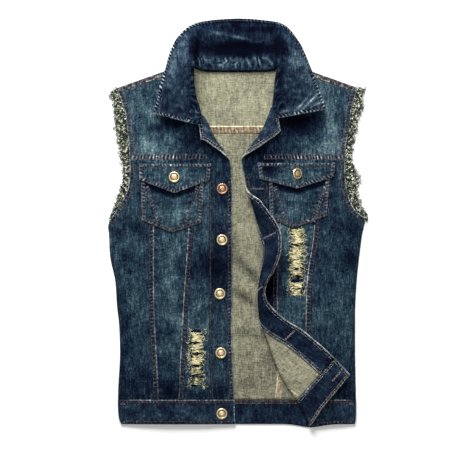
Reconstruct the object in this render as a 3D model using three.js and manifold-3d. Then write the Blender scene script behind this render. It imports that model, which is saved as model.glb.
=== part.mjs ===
import * as THREE from "three";
import Module from "manifold-3d";
import { mergeVertices } from "three/addons/utils/BufferGeometryUtils.js";

// A sleeveless denim vest, laid flat on its back with its collar opened out. The left front lies open: its
// lapel, its rolled placket and its lower corner are turned outwards. Millimetres, +Z up, collar toward +Y,
// and the wearer's right at -X. Every front piece is cut from one flat pattern and carried through one fold.

const wasm = await Module();
wasm.setup();

// Driving dimensions
const CLOTH = 1.3;
const BACK_CLOTH = 1.5;
const COLLAR_CLOTH = 3;
const SEAM_GAP = 0.3;
const LAYER_GAP = 0.5;
const PLACKET_WIDTH = 39;
const ROLL_RADIUS = 3;
const FRONT_TOP = 5;
const SIDE_TOP = 3.4;
const BILLOW = 2.4;
const SIDE_SLOPE_WIDTH = 30;
const BILLOW_FROM_SIDE = 90;
const BILLOW_FROM_FOLD = 70;
const CREASE_FROM_SIDE = 20;
const CREASE_FROM_FOLD = 30;
const FULL_ROLL_TURN = 8;
const LEAST_TURN = 0.2;
const HEM_Y = -351.5;
const HEM_DIP = 5.7;
const HEM_DIP_X = 127;
const HEM_DIP_WIDTH = 26;
const BAND_HALF_WIDTH = 204;
const WAIST_Y = -309;
const YOKE_Y = 110;
const BACK_YOKE_Y = 163;
const BACK_NECK_Y = 266;
const NECK_X = 84;
const SHOULDER_Y = 281;
const SHOULDER_SLOPE = 0.353;
const SHOULDER_WRAP = 9;
const SHOULDER_FOOT = 4;
const NECK_EASE = 18;
const BUTTON_RADIUS = 10;
const BUTTON_FOOT_RADIUS = 8.2;
const BUTTON_RIM_RISE = 1;
const FRAY_REACH = 228;
const FRAY_FOOT = 4;
const FRAY_HEAD = 232;
const FRAY_STRIP_WIDTH = 2.4;
const FRAY_STRIP_DEPTH = 1;
const FRAY_YARNS = 34;
const FRAY_YARN_RADIUS = 0.9;
const FRAY_YARN_LENGTH = 11;
const FRAY_LENGTH_SPREAD = 8;
const FRAY_LEAN = 0.34;
const SHOULDER_TIP_Y = 236;
const COLLAR_ROLL = 26;
const COLLAR_REACH = 0.7;
const COLLAR_LEAVE = 1.4;
const COLLAR_RISE_SHARE = 0.38;
const COLLAR_STEEPNESS = 1.6;
const GAP_RAGGEDNESS = 0.16;
const FLAP_BUTTON_TILT = 34;

// How finely the pieces are divided
const YOKE_ROWS = 11;
const BAND_ROWS = 3;
const FOLD_SAMPLES = 60;
const FOLD_CROWDING = 3.2;
const FOLD_CROWD_WIDTH = 8;
const ROW_CLEARANCE = 6;
const COLLAR_STEP = 0.004;
const GAP_CORNERS = 9;
const BUTTON_SIDES = 14;

// Half widths of the cloth at each height, down the armholes and the side seams
const OUTLINE = [
  { y: -353, right: 203, left: 204 },
  { y: -340, right: 208, left: 206.5 },
  { y: -300, right: 209.5, left: 206.5 },
  { y: -230, right: 206, left: 205.2 },
  { y: -175, right: 207.8, left: 205.2 },
  { y: -145, right: 211.3, left: 205.4 },
  { y: -100, right: 214.5, left: 208 },
  { y: -60, right: 223, left: 212.2 },
  { y: -20, right: 225.3, left: 217.4 },
  { y: -4, right: 226.5, left: 221 },
  { y: 8, right: 221, left: 222 },
  { y: 20, right: 213.5, left: 208 },
  { y: 34, right: 204.5, left: 198.5 },
  { y: 56, right: 193.7, left: 191.5 },
  { y: 80, right: 189.3, left: 188.4 },
  { y: 128, right: 190, left: 188.4 },
  { y: 166, right: 193.5, left: 195 },
  { y: 192, right: 197, left: 198 },
  { y: 212, right: 203, left: 202.5 },
  { y: 238, right: 213, left: 210 },
];

// Where each front turns over: the visible fold, the turned width, the way its rows swing, the bend of the
// fold itself and the angle that the free edge droops to
const FOLD_RIGHT = [
  { y: -353, fold: 4.8, turned: 0.2, swing: 0, bend: 30, droop: 30 },
  { y: -310, fold: 6.2, turned: 0.2, swing: 0, bend: 30, droop: 30 },
  { y: -250, fold: 9.5, turned: 0.2, swing: 0, bend: 30, droop: 30 },
  { y: -190, fold: 10.8, turned: 0.2, swing: 0, bend: 30, droop: 30 },
  { y: 90, fold: 10.8, turned: 0.2, swing: 0, bend: 30, droop: 30 },
  { y: 102, fold: 12.5, turned: 0.6, swing: -20, bend: 60, droop: 60 },
  { y: 114, fold: 19, turned: 6, swing: -42, bend: 120, droop: 150 },
  { y: 128, fold: 27.9, turned: 11.5, swing: -72, bend: 160, droop: 180 },
  { y: 145, fold: 40.5, turned: 18.5, swing: -76, bend: 175, droop: 185 },
  { y: 163, fold: 49.3, turned: 28, swing: -74, bend: 175, droop: 188 },
  { y: 177, fold: 55.6, turned: 38, swing: -70, bend: 175, droop: 188 },
  { y: 201, fold: 71, turned: 54, swing: -70, bend: 175, droop: 188 },
  { y: 232, fold: 76, turned: 60, swing: -70, bend: 175, droop: 188 },
  { y: 280, fold: 80, turned: 64, swing: -70, bend: 175, droop: 188 },
];
const FOLD_LEFT = [
  { y: -353, fold: 125.6, turned: 118.5, swing: 50, bend: 176, droop: 185 },
  { y: -311, fold: 104.7, turned: 105, swing: 48, bend: 176, droop: 185 },
  { y: -268, fold: 75.7, turned: 93, swing: 44, bend: 176, droop: 185 },
  { y: -231, fold: 60.5, turned: 73.5, swing: 44, bend: 175, droop: 186 },
  { y: -211, fold: 53.8, turned: 59, swing: 44, bend: 172, droop: 186 },
  { y: -187, fold: 45.1, turned: 45, swing: 46, bend: 160, droop: 186 },
  { y: -168, fold: 39.5, turned: 37.6, swing: 47, bend: 132, droop: 190 },
  { y: -154, fold: 38.1, turned: 35, swing: 52, bend: 100, droop: 190 },
  { y: -138, fold: 38.5, turned: 36.5, swing: 55, bend: 71, droop: 195 },
  { y: -119, fold: 40.7, turned: 42, swing: 46, bend: 54, droop: 200 },
  { y: -98, fold: 42.3, turned: 49.4, swing: 30, bend: 59, droop: 205 },
  { y: -75, fold: 43.1, turned: 53.4, swing: 24, bend: 78, droop: 205 },
  { y: -54, fold: 43, turned: 49.5, swing: 23, bend: 106, droop: 203 },
  { y: -30, fold: 41.2, turned: 43, swing: 26, bend: 147, droop: 195 },
  { y: -16, fold: 39, turned: 41, swing: 27, bend: 126, droop: 200 },
  { y: 5, fold: 34.6, turned: 39.4, swing: 24, bend: 76, droop: 205 },
  { y: 23, fold: 29.5, turned: 33, swing: 23, bend: 62, droop: 200 },
  { y: 36, fold: 24.9, turned: 24.5, swing: 23, bend: 76, droop: 180 },
  { y: 54, fold: 18.8, turned: 11, swing: 22, bend: 60, droop: 120 },
  { y: 72, fold: 14.2, turned: 2, swing: 10, bend: 30, droop: 30 },
  { y: 86, fold: 10.8, turned: 0.6, swing: -10, bend: 40, droop: 40 },
  { y: 104, fold: 7, turned: 1, swing: -30, bend: 60, droop: 60 },
  { y: 114, fold: 10.5, turned: 5, swing: -50, bend: 120, droop: 150 },
  { y: 128, fold: 20.2, turned: 11.5, swing: -66, bend: 160, droop: 180 },
  { y: 145, fold: 32.8, turned: 19.5, swing: -68, bend: 175, droop: 185 },
  { y: 163, fold: 44.7, turned: 27.5, swing: -68, bend: 175, droop: 188 },
  { y: 180, fold: 52.1, turned: 37, swing: -64, bend: 175, droop: 188 },
  { y: 194, fold: 57.3, turned: 43.5, swing: -60, bend: 175, droop: 186 },
  { y: 214, fold: 63.4, turned: 50, swing: -60, bend: 175, droop: 186 },
  { y: 280, fold: 72, turned: 56, swing: -60, bend: 175, droop: 186 },
];

// The princess seams of each panel, across the flat cloth
const SEAMS_RIGHT = [
  { y: -310, inner: 103.5, outer: 137.6 },
  { y: -140, inner: 95, outer: 146 },
  { y: -10, inner: 86, outer: 146.6 },
  { y: 112, inner: 80, outer: 147 },
];
const SEAMS_LEFT = [
  { y: -310, inner: 100, outer: 137 },
  { y: -268, inner: 84, outer: 126 },
  { y: -211, inner: 75, outer: 119 },
  { y: -155, inner: 70, outer: 119 },
  { y: -95, inner: 70.5, outer: 121.5 },
  { y: -15, inner: 74, outer: 133 },
  { y: 112, inner: 79, outer: 139 },
];
const BACK_SEAMS = [
  { y: -310, right: 74, left: 70 },
  { y: 163, right: 118, left: 118 },
];

// The neck edge of each front, from the top of its placket to the shoulder seam
const NECK_RIGHT = [
  { y: 198, x: 61.5 },
  { y: 222, x: 71 },
  { y: 245, x: 77 },
  { y: 275, x: 84 },
];
const NECK_LEFT = [
  { y: 213, x: 57.8 },
  { y: 232, x: 67 },
  { y: 250, x: 74 },
  { y: 275, x: 84 },
];

// Soft creases in the fronts: centre, half length, half width, turn from +X in degrees, and height
const CREASES = [
  { side: -1, x: 195, y: -70, length: 34, width: 9, turn: 35, height: 1.6 },
  { side: -1, x: 176, y: -190, length: 30, width: 10, turn: -30, height: 1.3 },
  { side: -1, x: 120, y: -235, length: 42, width: 12, turn: 10, height: 1 },
  { side: -1, x: 70, y: -75, length: 36, width: 10, turn: 60, height: 0.8 },
  { side: 1, x: 178, y: -50, length: 38, width: 10, turn: -38, height: 1.6 },
  { side: 1, x: 172, y: -125, length: 34, width: 11, turn: 24, height: 1.3 },
  { side: 1, x: 165, y: -210, length: 40, width: 12, turn: -16, height: 1.4 },
  { side: 1, x: 168, y: 150, length: 26, width: 10, turn: 50, height: 1 },
];
// Soft creases in the back, seen through the opening
const BACK_CREASES = [
  { x: 17, y: -115, length: 24, width: 13, turn: -38, height: 1.4 },
  { x: 22, y: -195, length: 22, width: 14, turn: -8, height: 1.1 },
];

// Gaps that are worn right through the cloth inside the two rips
const RIP_GAPS = [
  { side: -1, panel: "centre", x: 74, y: -227.5, width: 6, height: 4.6 },
  { side: -1, panel: "centre", x: 70.4, y: -267, width: 9.6, height: 4.6 },
  { side: 1, panel: "mid", x: 99.3, y: -95.4, width: 10.5, height: 7.5 },
];

// The collar from its right point round to its left point: x, y and z of its neck seam, crest and outer edge
const COLLAR = [
  { seam: [-68, 171.5, 19.5], crest: [-72, 171.5, 20], edge: [-147.4, 190.8, 11.5] },
  { seam: [-68, 197, 15], crest: [-70, 192, 23], edge: [-144, 204, 11] },
  { seam: [-76, 222, 10], crest: [-77, 215, 26], edge: [-139.6, 217, 11] },
  { seam: [-81, 245, 9], crest: [-80.5, 242, 29], edge: [-135.5, 239, 11] },
  { seam: [-83, 266, 9], crest: [-81, 270, 30], edge: [-126, 267, 11.5] },
  { seam: [-81, 275, 9], crest: [-80, 297, 27], edge: [-117.3, 298.4, 10.5] },
  { seam: [-76, 274, 8], crest: [-77, 314, 22], edge: [-104, 323.5, 9] },
  { seam: [-66, 269, 4], crest: [-70, 329, 14], edge: [-82, 344.2, 7] },
  { seam: [-50, 266.8, 3.6], crest: [-51, 324, 9], edge: [-52, 353, 5] },
  { seam: [0, 266.4, 3.6], crest: [0, 322, 8], edge: [0, 356.9, 4] },
  { seam: [48, 266.8, 3.6], crest: [49, 325, 9], edge: [50.3, 353.3, 5] },
  { seam: [64, 269, 4], crest: [68, 331, 14], edge: [82, 344.6, 7] },
  { seam: [73, 274, 8], crest: [74, 315, 22], edge: [106, 316, 9] },
  { seam: [77, 275, 9], crest: [75, 297, 27], edge: [117.2, 293.1, 10.5] },
  { seam: [77, 266, 9], crest: [73, 270, 30], edge: [128, 266.5, 11.5] },
  { seam: [71, 247, 9], crest: [70, 252, 29], edge: [134, 251, 11] },
  { seam: [67, 225, 10], crest: [68, 223, 26], edge: [143, 228, 11] },
  { seam: [65.5, 207, 15], crest: [66.5, 205, 23], edge: [149, 213, 11] },
  { seam: [69, 188, 19.5], crest: [74, 183, 20], edge: [152.7, 197.8, 11.5] },
];

// Patch pockets and flaps: a straight top between two x, and x and y of the lower edge's corners and point
const POCKETS = [
  { side: -1, top: 98, from: 57, to: 170, inner: [63.4, 0], point: [116, -17], outer: [167, 4.4] },
  { side: 1, top: 98, from: 53, to: 162.3, inner: [56, 8.8], point: [96.9, -9.1], outer: [155.7, 12.4] },
];
const FLAPS = [
  { side: -1, top: 103.5, from: 47.3, to: 172.3, inner: [49, 75], point: [110, 51.6], outer: [171.4, 75] },
  { side: 1, top: 105, from: 34.6, to: 170, inner: [38, 77], point: [103.7, 59.7], outer: [167.4, 80.3] },
];

const PLACKET_BUTTONS = [
  { x: 27.2, y: 59.7 },
  { x: 27.4, y: -29.6 },
  { x: 31.4, y: -123.6 },
  { x: 29.5, y: -227 },
  { x: 27.9, y: -333 },
];
const FLAP_BUTTONS = [
  { side: -1, x: 110.7, y: 80, tilt: 0 },
  { side: 1, x: 103.2, y: 85.8, tilt: FLAP_BUTTON_TILT },
];

const DENIM = { color: 0x2b3f52, roughness: 0.9, metalness: 0 };
const DARK_DENIM = { color: 0x1d2a3b, roughness: 0.9, metalness: 0 };
const BRASS = { color: 0xb08a5c, roughness: 0.4, metalness: 0.9 };
const RAW_YARN = { color: 0xa9b3a0, roughness: 1, metalness: 0 };

const RIGHT = {
  sign: -1,
  name: "right",
  corner: 177,
  folds: FOLD_RIGHT,
  seams: SEAMS_RIGHT,
  neck: NECK_RIGHT,
};
const LEFT = {
  sign: 1,
  name: "left",
  corner: 194,
  folds: FOLD_LEFT,
  seams: SEAMS_LEFT,
  neck: NECK_LEFT,
};
const vest = new THREE.Group();

// Arithmetic that the pattern needs

function mix(a, b, share) {
  return a + (b - a) * share;
}

function smooth(value) {
  return THREE.MathUtils.smoothstep(value, 0, 1);
}

// A column of a table at height y, on a smooth curve through the rows
function along(table, column, y) {
  const last = table.length - 1;
  const height = THREE.MathUtils.clamp(y, table[0].y, table[last].y);
  let i = 0;
  while (i < last - 1 && table[i + 1].y < height) i += 1;
  const slope = (k) => {
    const a = table[Math.max(k - 1, 0)];
    const b = table[Math.min(k + 1, last)];
    return (b[column] - a[column]) / (b.y - a.y);
  };
  const step = table[i + 1].y - table[i].y;
  const t = (height - table[i].y) / step;
  const start = table[i][column] * (1 + 2 * t) * (1 - t) ** 2 + table[i + 1][column] * (3 - 2 * t) * t ** 2;
  return start + step * (slope(i) * t * (1 - t) ** 2 - slope(i + 1) * (1 - t) * t ** 2);
}

// Height of one soft crease over a point
function creaseHeight(crease, x, y) {
  const turn = THREE.MathUtils.degToRad(crease.turn);
  const run = (x - crease.x) * Math.cos(turn) + (y - crease.y) * Math.sin(turn);
  const off = (y - crease.y) * Math.cos(turn) - (x - crease.x) * Math.sin(turn);
  return crease.height * Math.exp(-((run / crease.length) ** 2) - (off / crease.width) ** 2);
}

// The flat pattern and its fold

function sideAt(front, y) {
  return along(OUTLINE, front.name, y);
}

// Where the cloth leaves the lying panel and starts to turn over
function creaseAt(front, y) {
  const turned = along(front.folds, "turned", y);
  const roll = (ROLL_RADIUS + CLOTH) * Math.min(1, Math.max(0, turned) / FULL_ROLL_TURN);
  return along(front.folds, "fold", y) + roll;
}

// The front edge of the cloth, across the flat pattern
function edgeAt(front, y) {
  return creaseAt(front, y) - Math.max(LEAST_TURN, along(front.folds, "turned", y));
}

// Height of the outer face of a front that lies on the back
function lyingTop(front, x, y) {
  const fromSide = sideAt(front, y) - x;
  const fromFold = x - creaseAt(front, y);
  let z = mix(SIDE_TOP, FRONT_TOP, smooth(fromSide / SIDE_SLOPE_WIDTH));
  z += BILLOW * smooth(fromSide / BILLOW_FROM_SIDE) * smooth(fromFold / BILLOW_FROM_FOLD);
  const free = smooth(fromFold / CREASE_FROM_FOLD) * smooth(fromSide / CREASE_FROM_SIDE);
  for (const crease of CREASES) {
    if (crease.side === front.sign) z += creaseHeight(crease, x, y) * free;
  }
  return z;
}

// How far a strip has gone over and up once it has turned through the fold and then drooped
function turnOver(run, total, bend, droop) {
  const arc = Math.min(bend * ROLL_RADIUS, total);
  if (run <= arc) {
    return [ROLL_RADIUS * Math.sin(run / ROLL_RADIUS), ROLL_RADIUS * (1 - Math.cos(run / ROLL_RADIUS))];
  }
  const start = arc / ROLL_RADIUS;
  const curl = (droop - start) / (total - arc);
  const angle = start + curl * (run - arc);
  const over = ROLL_RADIUS * Math.sin(start) + (Math.sin(angle) - Math.sin(start)) / curl;
  const up = ROLL_RADIUS * (1 - Math.cos(start)) + (Math.cos(start) - Math.cos(angle)) / curl;
  return [over, up];
}

// A point of the flat pattern in its place on the vest
function place(front, x, y) {
  const crease = creaseAt(front, y);
  const past = crease - x;
  if (past <= 0) return new THREE.Vector3(front.sign * x, y, lyingTop(front, x, y));
  const half = THREE.MathUtils.degToRad((along(front.folds, "swing", y) - 180) / 2);
  const acrossShare = -Math.sin(half);
  const alongShare = -Math.cos(half);
  const total = Math.max(crease - edgeAt(front, y), past) * acrossShare;
  const bend = THREE.MathUtils.degToRad(along(front.folds, "bend", y));
  const droop = THREE.MathUtils.degToRad(along(front.folds, "droop", y));
  const [over, up] = turnOver(past * acrossShare, total, bend, droop + 0.001);
  const px = crease + past * alongShare * Math.cos(half) + over * Math.sin(half);
  const py = y + past * alongShare * Math.sin(half) - over * Math.cos(half);
  return new THREE.Vector3(front.sign * px, py, lyingTop(front, crease, y) + up);
}

// The outward direction of the outer face at a point of the flat pattern
function facing(front, x, y) {
  const h = 0.4;
  const across = place(front, x + h, y).sub(place(front, x - h, y));
  const upward = place(front, x, y + h).sub(place(front, x, y - h));
  return across.cross(upward).multiplyScalar(front.sign).normalize();
}

// Solids

// A closed wall between an outer face and the same face moved in by the thickness
function wall(surface, columns, rows, thickness, lift = 0) {
  const positions = [];
  for (const depth of [lift, lift - thickness]) {
    for (let j = 0; j <= rows; j += 1) {
      for (let i = 0; i <= columns; i += 1) {
        const { point, normal, floor } = surface(i / columns, j / rows);
        const at = point.clone().addScaledVector(normal, depth);
        positions.push(at.x, at.y, depth < lift && floor !== undefined ? floor : at.z);
      }
    }
  }
  const layer = (columns + 1) * (rows + 1);
  const at = (i, j, inner) => inner * layer + j * (columns + 1) + i;
  const faces = [];
  const quad = (a, b, c, d) => faces.push(a, b, c, a, c, d);
  for (let j = 0; j < rows; j += 1) {
    for (let i = 0; i < columns; i += 1) {
      quad(at(i, j, 0), at(i + 1, j, 0), at(i + 1, j + 1, 0), at(i, j + 1, 0));
      quad(at(i, j, 1), at(i, j + 1, 1), at(i + 1, j + 1, 1), at(i + 1, j, 1));
    }
  }
  for (let i = 0; i < columns; i += 1) {
    quad(at(i, 0, 0), at(i, 0, 1), at(i + 1, 0, 1), at(i + 1, 0, 0));
    quad(at(i, rows, 0), at(i + 1, rows, 0), at(i + 1, rows, 1), at(i, rows, 1));
  }
  for (let j = 0; j < rows; j += 1) {
    quad(at(0, j, 0), at(0, j + 1, 0), at(0, j + 1, 1), at(0, j, 1));
    quad(at(columns, j, 0), at(columns, j, 1), at(columns, j + 1, 1), at(columns, j + 1, 0));
  }
  return facedOut(positions, faces);
}

// The geometry with its faces turned outwards, whichever side of the vest it is on
function facedOut(positions, faces) {
  const p = (k) => new THREE.Vector3().fromArray(positions, faces[k] * 3);
  let volume = 0;
  for (let k = 0; k < faces.length; k += 3) volume += p(k).dot(p(k + 1).cross(p(k + 2)));
  const turned = [];
  for (let k = 0; k < faces.length; k += 3) turned.push(faces[k], faces[k + 2], faces[k + 1]);
  const geometry = new THREE.BufferGeometry();
  geometry.setAttribute("position", new THREE.Float32BufferAttribute(positions, 3));
  geometry.setIndex(volume < 0 ? turned : faces);
  return geometry;
}

function solidOf(geometry) {
  const plain = geometry.clone();
  plain.deleteAttribute("normal");
  plain.deleteAttribute("uv");
  const merged = mergeVertices(plain, 1e-4);
  const vertProperties = new Float32Array(merged.attributes.position.array);
  const triVerts = new Uint32Array(merged.index.array);
  return new wasm.Manifold(new wasm.Mesh({ numProp: 3, vertProperties, triVerts }));
}

function geometryOf(solid) {
  const { vertProperties, triVerts } = solid.getMesh();
  const geometry = new THREE.BufferGeometry();
  geometry.setAttribute("position", new THREE.Float32BufferAttribute(vertProperties, 3));
  geometry.setIndex(Array.from(triVerts));
  return geometry;
}

function addPiece(name, geometry, finish) {
  const piece = new THREE.Mesh(geometry, new THREE.MeshStandardMaterial(finish));
  piece.name = name;
  vest.add(piece);
  return piece;
}

// Places across a piece, closer together round the fold that they pass through
function spread(from, to, crease, count) {
  const middle = crease - ROLL_RADIUS * 1.5;
  const weights = [0];
  for (let k = 0; k < FOLD_SAMPLES; k += 1) {
    const x = mix(from, to, (k + 0.5) / FOLD_SAMPLES);
    weights.push(weights[k] + 1 + FOLD_CROWDING * Math.exp(-(((x - middle) / FOLD_CROWD_WIDTH) ** 2)));
  }
  const places = [];
  for (let i = 0; i <= count; i += 1) {
    const goal = (weights[FOLD_SAMPLES] * i) / count;
    let k = 0;
    while (k < FOLD_SAMPLES - 1 && weights[k + 1] < goal) k += 1;
    const share = (goal - weights[k]) / (weights[k + 1] - weights[k]);
    places.push(mix(from, to, (k + share) / FOLD_SAMPLES));
  }
  return places;
}

// Heights of the rows of a piece, evenly spaced
function evenRows(from, to, count) {
  return Array.from({ length: count + 1 }, (unused, k) => mix(from, to, k / count));
}

// Heights of the rows of a piece that reaches a side edge: those that its outline needs
function outlineRows(from, to) {
  const heights = OUTLINE.map((row) => row.y);
  const between = heights.filter((y) => y > from + ROW_CLEARANCE && y < to - ROW_CLEARANCE);
  return [from, ...between, to];
}

// A piece with the worn gaps of its rip cut through, each a ragged oval
function withGaps(front, panel, geometry) {
  let solid = solidOf(geometry);
  for (const gap of RIP_GAPS.filter((row) => row.side === front.sign && row.panel === panel)) {
    const outline = Array.from({ length: GAP_CORNERS }, (unused, k) => {
      const angle = (2 * Math.PI * k) / GAP_CORNERS;
      const ragged = 1 + GAP_RAGGEDNESS * Math.sin(5 * k + gap.width);
      const across = (gap.width / 2) * ragged * Math.cos(angle);
      const upward = (gap.height / 2) * ragged * Math.sin(angle);
      return new THREE.Vector2(front.sign * gap.x + across, gap.y + upward);
    });
    const depth = 2 * FRONT_TOP + 2 * BILLOW;
    const cutter = new THREE.ExtrudeGeometry(new THREE.Shape(outline), { depth, bevelEnabled: false });
    solid = solid.subtract(solidOf(cutter));
  }
  return geometryOf(solid);
}

// A panel of a front between two seams; its rows are a list of heights for each place across it
function frontPiece(front, cut, columns, thickness, lift = 0) {
  const rows = cut.rows(0).length - 1;
  const surface = (s, t) => {
    const y = cut.rows(s)[Math.round(t * rows)];
    const places = spread(cut.inner(y), cut.outer(y), creaseAt(front, y), columns);
    const x = places[Math.round(s * columns)];
    return { point: place(front, x, y), normal: facing(front, x, y) };
  };
  return wall(surface, columns, rows, thickness, lift);
}

// Fronts

const half = SEAM_GAP / 2;
function shoulderY(x) {
  return SHOULDER_Y - SHOULDER_SLOPE * (Math.abs(x) - NECK_X);
}

function hemY(front, x) {
  const dip = front === LEFT ? HEM_DIP * Math.exp(-(((x - HEM_DIP_X) / HEM_DIP_WIDTH) ** 2)) : 0;
  return HEM_Y - dip;
}

function addFront(front, counts) {
  const seam = (column) => (y) => along(front.seams, column, y);
  const neckFoot = front.neck[0];
  const corner = front.corner;
  const placketIn = (y) => edgeAt(front, Math.min(y, corner)) + PLACKET_WIDTH;
  const panelSpan = [WAIST_Y + half, YOKE_Y - half];
  const placket = {
    inner: (y) => edgeAt(front, Math.min(y, corner)),
    outer: (y) => placketIn(y) - half,
    rows: (s) => {
      const upper = evenRows(YOKE_Y, mix(corner, neckFoot.y, s), counts.neckRows);
      return [...evenRows(WAIST_Y + half, YOKE_Y, counts.rows), ...upper.slice(1)];
    },
  };
  addPiece(`placket_${front.name}`, frontPiece(front, placket, counts.placket, CLOTH), DENIM);
  const facingLift = -CLOTH - SEAM_GAP;
  const facingWall = frontPiece(front, placket, counts.placket, CLOTH, facingLift);
  addPiece(`facing_${front.name}`, facingWall, DARK_DENIM);
  const shoulderX = (s) => mix(NECK_X, sideAt(front, SHOULDER_TIP_Y), s);
  const yoke = {
    inner: (y) => (y < neckFoot.y ? placketIn(y) : along(front.neck, "x", y)) + half,
    outer: (y) => sideAt(front, y),
    rows: (s) => evenRows(YOKE_Y + half, shoulderY(shoulderX(s)) - SHOULDER_WRAP - half, YOKE_ROWS),
  };
  addPiece(`front_yoke_${front.name}`, frontPiece(front, yoke, 12, CLOTH), DENIM);
  const panels = [
    { name: "centre", inner: placketIn, outer: seam("inner"), columns: counts.centre },
    { name: "mid", inner: seam("inner"), outer: seam("outer"), columns: 4 },
    { name: "side", inner: seam("outer"), outer: (y) => sideAt(front, y) + half, columns: 6 },
  ];
  for (const { name, inner, outer, columns } of panels) {
    const heights = name === "side" ? outlineRows(...panelSpan) : evenRows(...panelSpan, counts.rows);
    const cut = { inner: (y) => inner(y) + half, outer: (y) => outer(y) - half, rows: () => heights };
    const geometry = withGaps(front, name, frontPiece(front, cut, columns, CLOTH));
    addPiece(`front_${name}_${front.name}`, geometry, DENIM);
  }
  const band = {
    inner: (y) => edgeAt(front, y),
    outer: (y) => sideAt(front, y),
    rows: (s) => {
      const hem = hemY(front, mix(edgeAt(front, HEM_Y), sideAt(front, HEM_Y), s));
      return evenRows(hem, WAIST_Y - half, BAND_ROWS);
    },
  };
  addPiece(`waistband_${front.name}`, frontPiece(front, band, counts.band, CLOTH), DARK_DENIM);
}

addFront(RIGHT, { placket: 5, rows: 18, neckRows: 6, centre: 5, band: 10 });
addFront(LEFT, { placket: 7, rows: 30, neckRows: 7, centre: 9, band: 18 });

// Patch pockets and their flaps, made from the panels' outer points, moved out

function pointedPatch(front, shape, columns, rows, thickness, lift) {
  const surface = (s, t) => {
    const share = s * 2;
    const [from, to] = share < 1 ? [shape.inner, shape.point] : [shape.point, shape.outer];
    const part = share < 1 ? share : share - 1;
    const x = mix(mix(from[0], to[0], part), mix(shape.from, shape.to, s), t);
    const y = mix(mix(from[1], to[1], part), shape.top, t);
    return { point: place(front, x, y), normal: facing(front, x, y) };
  };
  return wall(surface, columns, rows, thickness, lift);
}

const pocketLift = LAYER_GAP + CLOTH;
const flapLift = pocketLift + LAYER_GAP + CLOTH;
for (const shape of POCKETS) {
  const front = shape.side < 0 ? RIGHT : LEFT;
  addPiece(`pocket_${front.name}`, pointedPatch(front, shape, 8, 6, CLOTH, pocketLift), DENIM);
}
for (const shape of FLAPS) {
  const front = shape.side < 0 ? RIGHT : LEFT;
  addPiece(`flap_${front.name}`, pointedPatch(front, shape, 8, 3, CLOTH, flapLift), DENIM);
}

// Back panels: a flat underside that rests, and soft creases in the face that shows inside the vest

function backTop(x, y) {
  let z = BACK_CLOTH;
  for (const crease of BACK_CREASES) z += creaseHeight(crease, x, y);
  return z;
}

function backPiece(cut, columns) {
  const up = new THREE.Vector3(0, 0, 1);
  const rows = cut.rows(0).length - 1;
  const surface = (s, t) => {
    const y = cut.rows(s)[Math.round(t * rows)];
    const x = mix(cut.from(y), cut.to(y), s);
    return { point: new THREE.Vector3(x, y, backTop(x, y)), normal: up, floor: 0 };
  };
  return wall(surface, columns, rows, BACK_CLOTH);
}

const backSide = { right: (y) => -sideAt(RIGHT, y), left: (y) => sideAt(LEFT, y) };
const backSeam = {
  right: (y) => -along(BACK_SEAMS, "right", y),
  left: (y) => along(BACK_SEAMS, "left", y),
};
const backSpan = [WAIST_Y + half, BACK_YOKE_Y - half];
const sideRows = { rows: () => outlineRows(...backSpan) };
const centreRows = { rows: () => evenRows(...backSpan, 22) };
const centreCut = { from: (y) => backSeam.right(y) + half, to: (y) => backSeam.left(y) - half };
const rightCut = { from: backSide.right, to: (y) => backSeam.right(y) - half };
const leftCut = { from: (y) => backSeam.left(y) + half, to: backSide.left };
addPiece("back_centre", backPiece({ ...centreRows, ...centreCut }, 8), DENIM);
addPiece("back_side_right", backPiece({ ...sideRows, ...rightCut }, 2), DENIM);
addPiece("back_side_left", backPiece({ ...sideRows, ...leftCut }, 2), DENIM);
const bandBack = {
  from: backSide.right,
  to: backSide.left,
  rows: (s) => evenRows(hemY(LEFT, mix(-BAND_HALF_WIDTH, BAND_HALF_WIDTH, s)), WAIST_Y - half, 2),
};
addPiece("waistband_back", backPiece(bandBack, 16), DARK_DENIM);

// The yoke's neck edge dips between the shoulders
function yokeTop(x) {
  const reach = Math.abs(x);
  if (reach > NECK_X) return shoulderY(x) - FRONT_TOP / 2;
  const rise = SHOULDER_Y - FRONT_TOP / 2 - BACK_NECK_Y;
  return BACK_NECK_Y - half + rise * smooth((reach - NECK_X + NECK_EASE) / NECK_EASE);
}

// The strip of the yoke that turns over a shoulder and comes down on the front
function shoulderStrip(front) {
  const rows = 7;
  const footEnd = 1 / rows;
  const arcEnd = 5 / rows;
  const surface = (s, t) => {
    const x = mix(NECK_X, sideAt(front, SHOULDER_TIP_Y), s);
    const seamY = shoulderY(x);
    const top = lyingTop(front, x, seamY - SHOULDER_WRAP);
    const radius = top / 2;
    const centreY = seamY - radius;
    if (t < footEnd) {
      const y = centreY - SHOULDER_FOOT * (1 - t / footEnd);
      return { point: new THREE.Vector3(front.sign * x, y, 0), normal: new THREE.Vector3(0, 0, -1) };
    }
    if (t <= arcEnd) {
      const angle = (Math.PI * (t - footEnd)) / (arcEnd - footEnd);
      const normal = new THREE.Vector3(0, Math.sin(angle), -Math.cos(angle));
      const point = new THREE.Vector3(front.sign * x, centreY, radius).addScaledVector(normal, radius);
      return { point, normal };
    }
    const y = mix(centreY, seamY - SHOULDER_WRAP + half, (t - arcEnd) / (1 - arcEnd));
    return { point: new THREE.Vector3(front.sign * x, y, top), normal: new THREE.Vector3(0, 0, 1) };
  };
  return wall(surface, 6, rows, CLOTH);
}

const yokeCut = {
  from: backSide.right,
  to: backSide.left,
  rows: (s) => {
    const top = yokeTop(mix(-sideAt(RIGHT, SHOULDER_TIP_Y), sideAt(LEFT, SHOULDER_TIP_Y), s));
    return evenRows(BACK_YOKE_Y + half, top, 3);
  },
};
const yokeBody = solidOf(backPiece(yokeCut, 20));
const yokeSolid = yokeBody.add(solidOf(shoulderStrip(RIGHT))).add(solidOf(shoulderStrip(LEFT)));
addPiece("back_yoke", geometryOf(yokeSolid), DENIM);

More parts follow.
